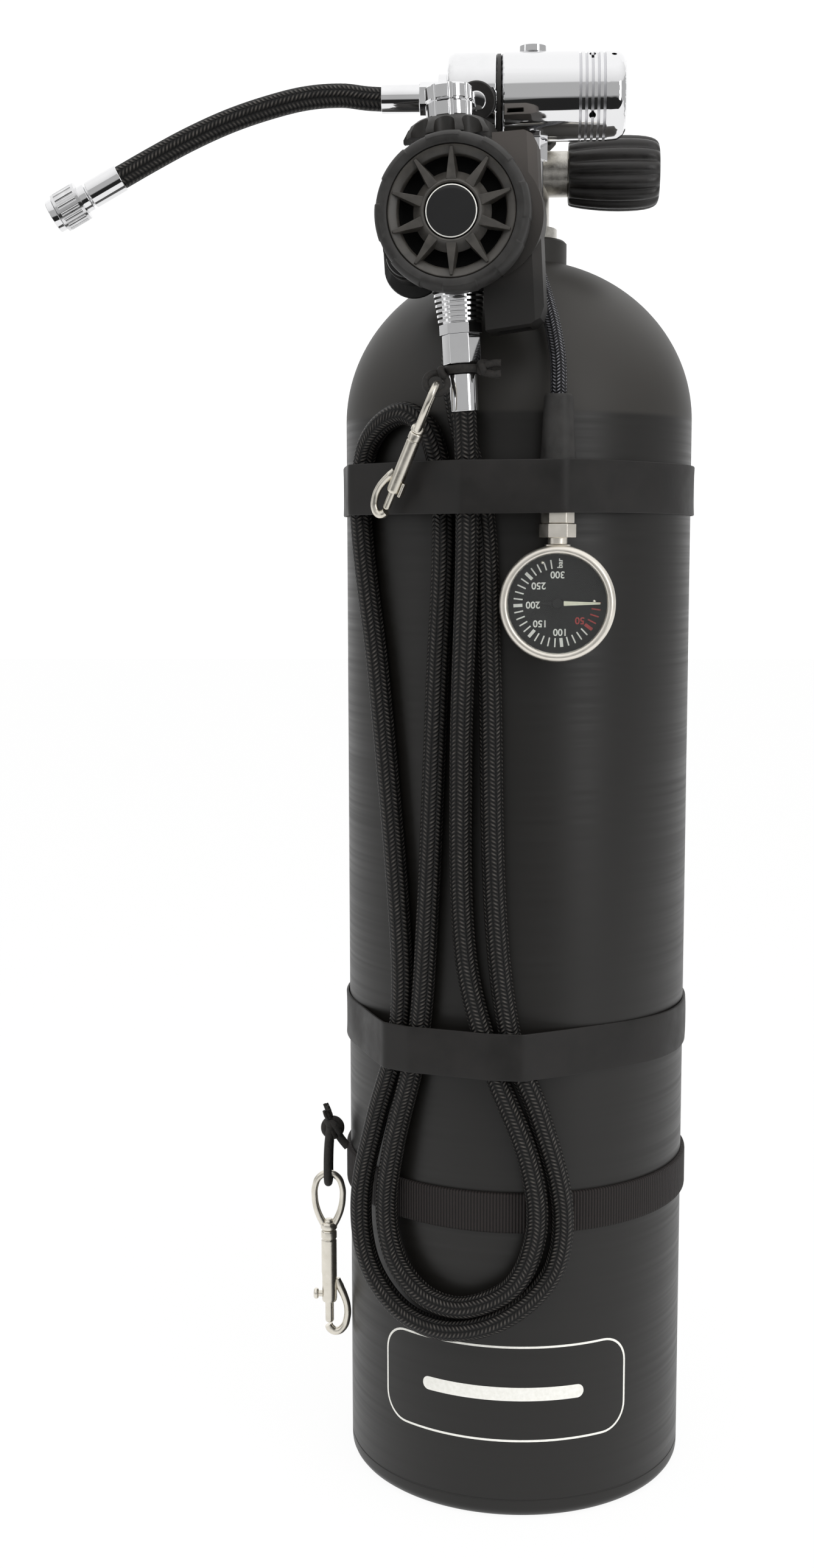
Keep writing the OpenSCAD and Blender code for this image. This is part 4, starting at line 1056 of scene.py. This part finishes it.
def lower_tie():
    """Two legs through the eye, a knot of three turns above them, and frayed ends."""
    eye_top, cord = 31, 2.2
    leg_route = [(1.5, 4.2, eye_top + 27), (0.4, 4.6, eye_top + 16), (0, 4.5, eye_top + 5),
                 (0, 3.2, eye_top - 3.2), (0, 0, eye_top - 4.5), (0, -3.2, eye_top - 3.2),
                 (0, -4.5, eye_top + 5), (0.4, -4.6, eye_top + 16), (1.5, -4.2, eye_top + 27)]
    legs = wire("tie_legs", leg_route, cord)
    knots = []
    for a, b in ((20, 70), (80, 10), (-40, 35)):
        round_knot = loop_points((2.4, 0, eye_top + 25.5), 4, 8, turn(a, "X") @ turn(b, "Y"))
        knots.append(wire("tie_knot", round_knot, cord + 0.1, closed=True))
    strap_route = [(3.5, 0, eye_top + 25), (6.5, 0, eye_top + 20), (10.4, 0, eye_top + 15)]
    to_strap = wire("tie_to_strap", strap_route, cord)
    draw = random.Random(11)
    ends = []
    for k in range(9):
        lean = Vector((draw.uniform(-4.2, 1.2), draw.uniform(-3, 3), draw.uniform(5, 8.5)))
        foot = Vector((1.6, draw.uniform(-2, 2), eye_top + 29))
        bend = foot + lean * 0.55 + Vector((draw.uniform(-0.8, 0.8), 0, 0))
        ends.append(wire("tie_end", [foot, bend, foot + lean], cord / 2, [1, 1, 0.7], sides=3))
    whole = joined("lower_cord_tie", legs, to_strap, *knots, *ends)
    dressed(placed(whole, AT_LOWER_SNAP), tie_cord, "lower_tie", smooth=60)


upper_tie()
lower_tie()


# Bolt snaps
def thumb_stud():
    """A round stud that the thumb pulls the bolt back by."""
    stations = [(0, 1.7), (5.8, 1.7), (6, 2.4), (6.5, 2.9), (7.6, 2.9), (8.3, 2.3), (8.5, 1)]
    return placed(turned("bolt_stud", stations, sides=32), shift(0, 0, -36) @ turn(-90, "Y"))


def thumb_lug():
    """A flat lug for the thumb, on a short shank."""
    shank = block("bolt_lug", (-5, -1, -37.4), (0, 1, -34.6))
    plate = softened(block("bolt_lug_plate", (-6.4, -2.3, -40.6), (-4.3, 2.3, -31.4)), 0.7, 3)
    return joined("bolt_lug", plate, shank)


def snap_eye(which, at, wire_r):
    """An upright loop of wire on a collar, with a stub that turns in the hook's body."""
    left = [(-2.4, 0, 2.6), (-4.6, 0, 6.5), (-6.6, 0, 12), (-7.5, 0, 18), (-7.2, 0, 24), (-4.8, 0, 29.2)]
    left_radii = [1.15, 1.05, 1, 0.95, 0.95, 1]
    route = left + [(0, 0, 31.2)] + [(-x, y, z) for x, y, z in reversed(left)]
    eye = wire("eye_loop", route, wire_r, left_radii + [1.05] + left_radii[::-1])
    collar_stations = [(0.3, 2), (0.3, 3.9), (1, 4.4), (3, 4.3), (4, 3.6), (4.3, 2.8), (5, 2.7), (5.8, 2),
                       (6.1, 0.8)]
    collar = turned("eye_collar", collar_stations, sides=40)
    stub = turned("eye_stub", [(-5, 2.9), (-3.1, 2.9), (-3, 2), (0.6, 2)], sides=32)
    whole = joined(which + "_snap_eye_wire", eye, collar, stub)
    dressed(placed(whole, at), bright_steel, which + "_snap_eye", smooth=50)


def snap_hook(which, at, wire_r, slot_half):
    """The body, a tube with a slot for the thumb piece, and the bent arm that the bolt closes."""
    tube_stations = [(-40, 2.45), (-40, 3.5), (-39.4, 3.9), (-38, 4.1), (-6, 4.1), (-5.6, 3.7), (-4.8, 3.7),
                     (-4.4, 4.2), (-1.2, 4.2), (-0.3, 3.7), (0, 3.1), (0, 2.1), (-2.7, 2.1), (-2.7, 3.1),
                     (-5.4, 3.1), (-5.4, 2.45)]
    tube = turned("hook_tube", tube_stations, sides=48, ring=True)
    cutter = block("slot_cutter", (-8, -slot_half, -38.6), (0, slot_half, -24))
    softened(cutter, slot_half * 0.6, 3)
    modified(tube, "BOOLEAN", operation="DIFFERENCE", object=cutter, solver="EXACT")
    bpy.data.objects.remove(cutter)
    route = [(4.4, 0, -27.4), (5.6, 0, -31.4), (8, 0, -37), (9.6, 0, -43), (9.4, 0, -49.5), (7.2, 0, -55),
             (3.6, 0, -57), (0.6, 0, -55.6), (-0.6, 0, -53.4)]
    arm = wire("hook_arm", route, wire_r + 0.2, [0.75, 1.1, 1, 0.95, 0.95, 1, 1.1, 1.2, 1.1])
    whole = joined(which + "_snap_hook_body", tube, arm)
    dressed(placed(whole, at), bright_steel, which + "_snap_hook", smooth=50)


def snap_bolt(which, at, thumb):
    """The sprung pin with its thumb piece."""
    pin = turned("bolt_pin", [(-51.8, 1.4), (-51.4, 2), (-50.6, 2.3), (-34, 2.3), (-33, 1.8)], sides=32)
    whole = joined(which + "_snap_bolt_pin", pin, thumb())
    dressed(placed(whole, at), bright_steel, which + "_snap_bolt", smooth=50)


def snap(which, at, eye_turn, hook_turn, wire_r, slot_half, thumb):
    """A bolt snap: the eye, and the hook and bolt that swivel under it."""
    snap_eye(which, at @ turn(eye_turn, "Z"), wire_r)
    snap_hook(which, at @ turn(hook_turn, "Z"), wire_r, slot_half)
    snap_bolt(which, at @ turn(hook_turn, "Z"), thumb)


snap("lower", AT_LOWER_SNAP, eye_turn=0, hook_turn=0, wire_r=1.8, slot_half=1.9, thumb=thumb_stud)
snap("upper", AT_UPPER_SNAP, eye_turn=90, hook_turn=160, wire_r=2.1, slot_half=1.2, thumb=thumb_lug)

# Quick coupling
coupling = [from_solid("coupler_body", chrome, 0.4), from_solid("coupler_sleeve", knurled_chrome, 0.3)]

hose("long_hose_braid", long_line, HOSE_D, step=3, pitch=2.0, colours=NYLON, solid="long_hose")
hose("gauge_hose_braid", gauge_line, GAUGE_HOSE_D, step=2, pitch=1.5, colours=FINE_NYLON, solid="gauge_hose")
hose("inflator_hose_braid", inflator_line, HOSE_D, step=2.5, pitch=2.0, colours=NYLON, solid="inflator_hose")


# Studio
def paper_floor():
    """White paper that is seen, and mirrored, as white, and still takes a faint shadow."""
    wide, front = 8, -0.72
    clear_selection()
    bpy.ops.mesh.primitive_plane_add(size=wide, location=(0, front + wide / 2, 0))
    floor = bpy.context.object
    bpy.ops.object.transform_apply()
    floor.name = "floor"
    paper, tree, shader = finish("white_paper_floor", "#f4f4f3", 0.9, sheen=0.0)
    path = node(tree, "LightPath")
    seen = node(tree, "Math", {0: path.outputs["Is Camera Ray"], 1: path.outputs["Is Glossy Ray"]},
                operation="MAXIMUM")
    seen = node(tree, "Math", {0: seen, 1: path.outputs["Is Transmission Ray"]}, operation="MAXIMUM")
    share = node(tree, "Math", {0: seen, 1: 0.94}, operation="MULTIPLY")
    glow = node(tree, "Emission", {"Color": (1, 1, 1, 1), "Strength": 1.0})
    mix = node(tree, "MixShader", {0: share, 1: shader, 2: glow})
    tree.links.new(mix.outputs[0], tree.nodes["Material Output"].inputs["Surface"])
    floor.data.materials.append(paper)


def white_room():
    """A white wall behind and a white ceiling, a grey room round the camera, and dark below it, where
    the paper ends. The camera itself sees white."""
    world = bpy.data.worlds.new("studio")
    bpy.context.scene.world = world
    world.use_nodes = True
    tree = world.node_tree
    path = node(tree, "LightPath")
    seen = node(tree, "Math",
                {0: path.outputs["Is Camera Ray"], 1: path.outputs["Is Transmission Ray"]},
                operation="MAXIMUM")
    ways = node(tree, "TexCoord").outputs["Generated"]
    way = node(tree, "SeparateXYZ", {"Vector": ways})
    wall = node(tree, "MapRange", {"Value": way.outputs["Y"], "From Min": 0.02, "From Max": 0.3})
    aside = node(tree, "Math", {0: way.outputs["X"]}, operation="ABSOLUTE")
    paper_width = node(tree, "MapRange",
                       {"Value": aside, "From Min": 0.6, "From Max": 0.85,
                        "To Min": 1.0, "To Max": 0.0})
    wall = node(tree, "Math", {0: wall, 1: paper_width}, operation="MULTIPLY")
    ceiling = node(tree, "MapRange", {"Value": way.outputs["Z"], "From Min": 0.3, "From Max": 0.42})
    overhead = node(tree, "MapRange",
                    {"Value": way.outputs["Z"], "From Min": 0.42, "From Max": 0.92,
                     "To Min": 0.76, "To Max": 1.0})
    ceiling = node(tree, "Math", {0: ceiling, 1: overhead}, operation="MULTIPLY")
    room = node(tree, "MapRange",
                {"Value": way.outputs["Z"], "From Min": -0.3, "From Max": -0.2,
                 "To Min": 0.02, "To Max": 0.48})
    level = node(tree, "Math", {0: wall, 1: ceiling}, operation="MAXIMUM")
    level = node(tree, "Math", {0: level, 1: 1.12}, operation="MULTIPLY")
    level = node(tree, "Math", {0: level, 1: room}, operation="MAXIMUM")
    level = node(tree, "Math", {0: level, 1: seen}, operation="MAXIMUM")
    back = tree.nodes["Background"]
    back.inputs["Color"].default_value = (1, 1, 1, 1)
    tree.links.new(level.outputs[0], back.inputs["Strength"])


def softbox(name, spot, aim, size, power, mirrored=True):
    """A lamp of a width and a height in metres, turned to a point, that metal mirrors or not."""
    lamp = bpy.data.lights.new(name, "AREA")
    lamp.shape = "RECTANGLE"
    lamp.size, lamp.size_y = size
    lamp.energy = power
    holder = bpy.data.objects.new(name, lamp)
    holder.location = spot
    holder.rotation_euler = (Vector(aim) - Vector(spot)).to_track_quat("-Z", "Y").to_euler()
    holder.visible_glossy = mirrored
    bpy.context.collection.objects.link(holder)


paper_floor()
white_room()
softbox("right_softbox", (1.3, -1.35, 0.75), (0, 0, 0.4), (0.5, 1.4), power=7)
softbox("left_softbox", (-1.7, -0.7, 0.8), (0, 0, 0.4), (0.4, 1.4), power=1.2)
# Polished metal mirrors the white ceiling of the world instead of the top lamp
softbox("top_softbox", (0.1, -0.7, 1.7), (0, 0, 0.5), (1.2, 1.2), power=15, mirrored=False)
bpy.context.scene.view_settings.view_transform = "Standard"
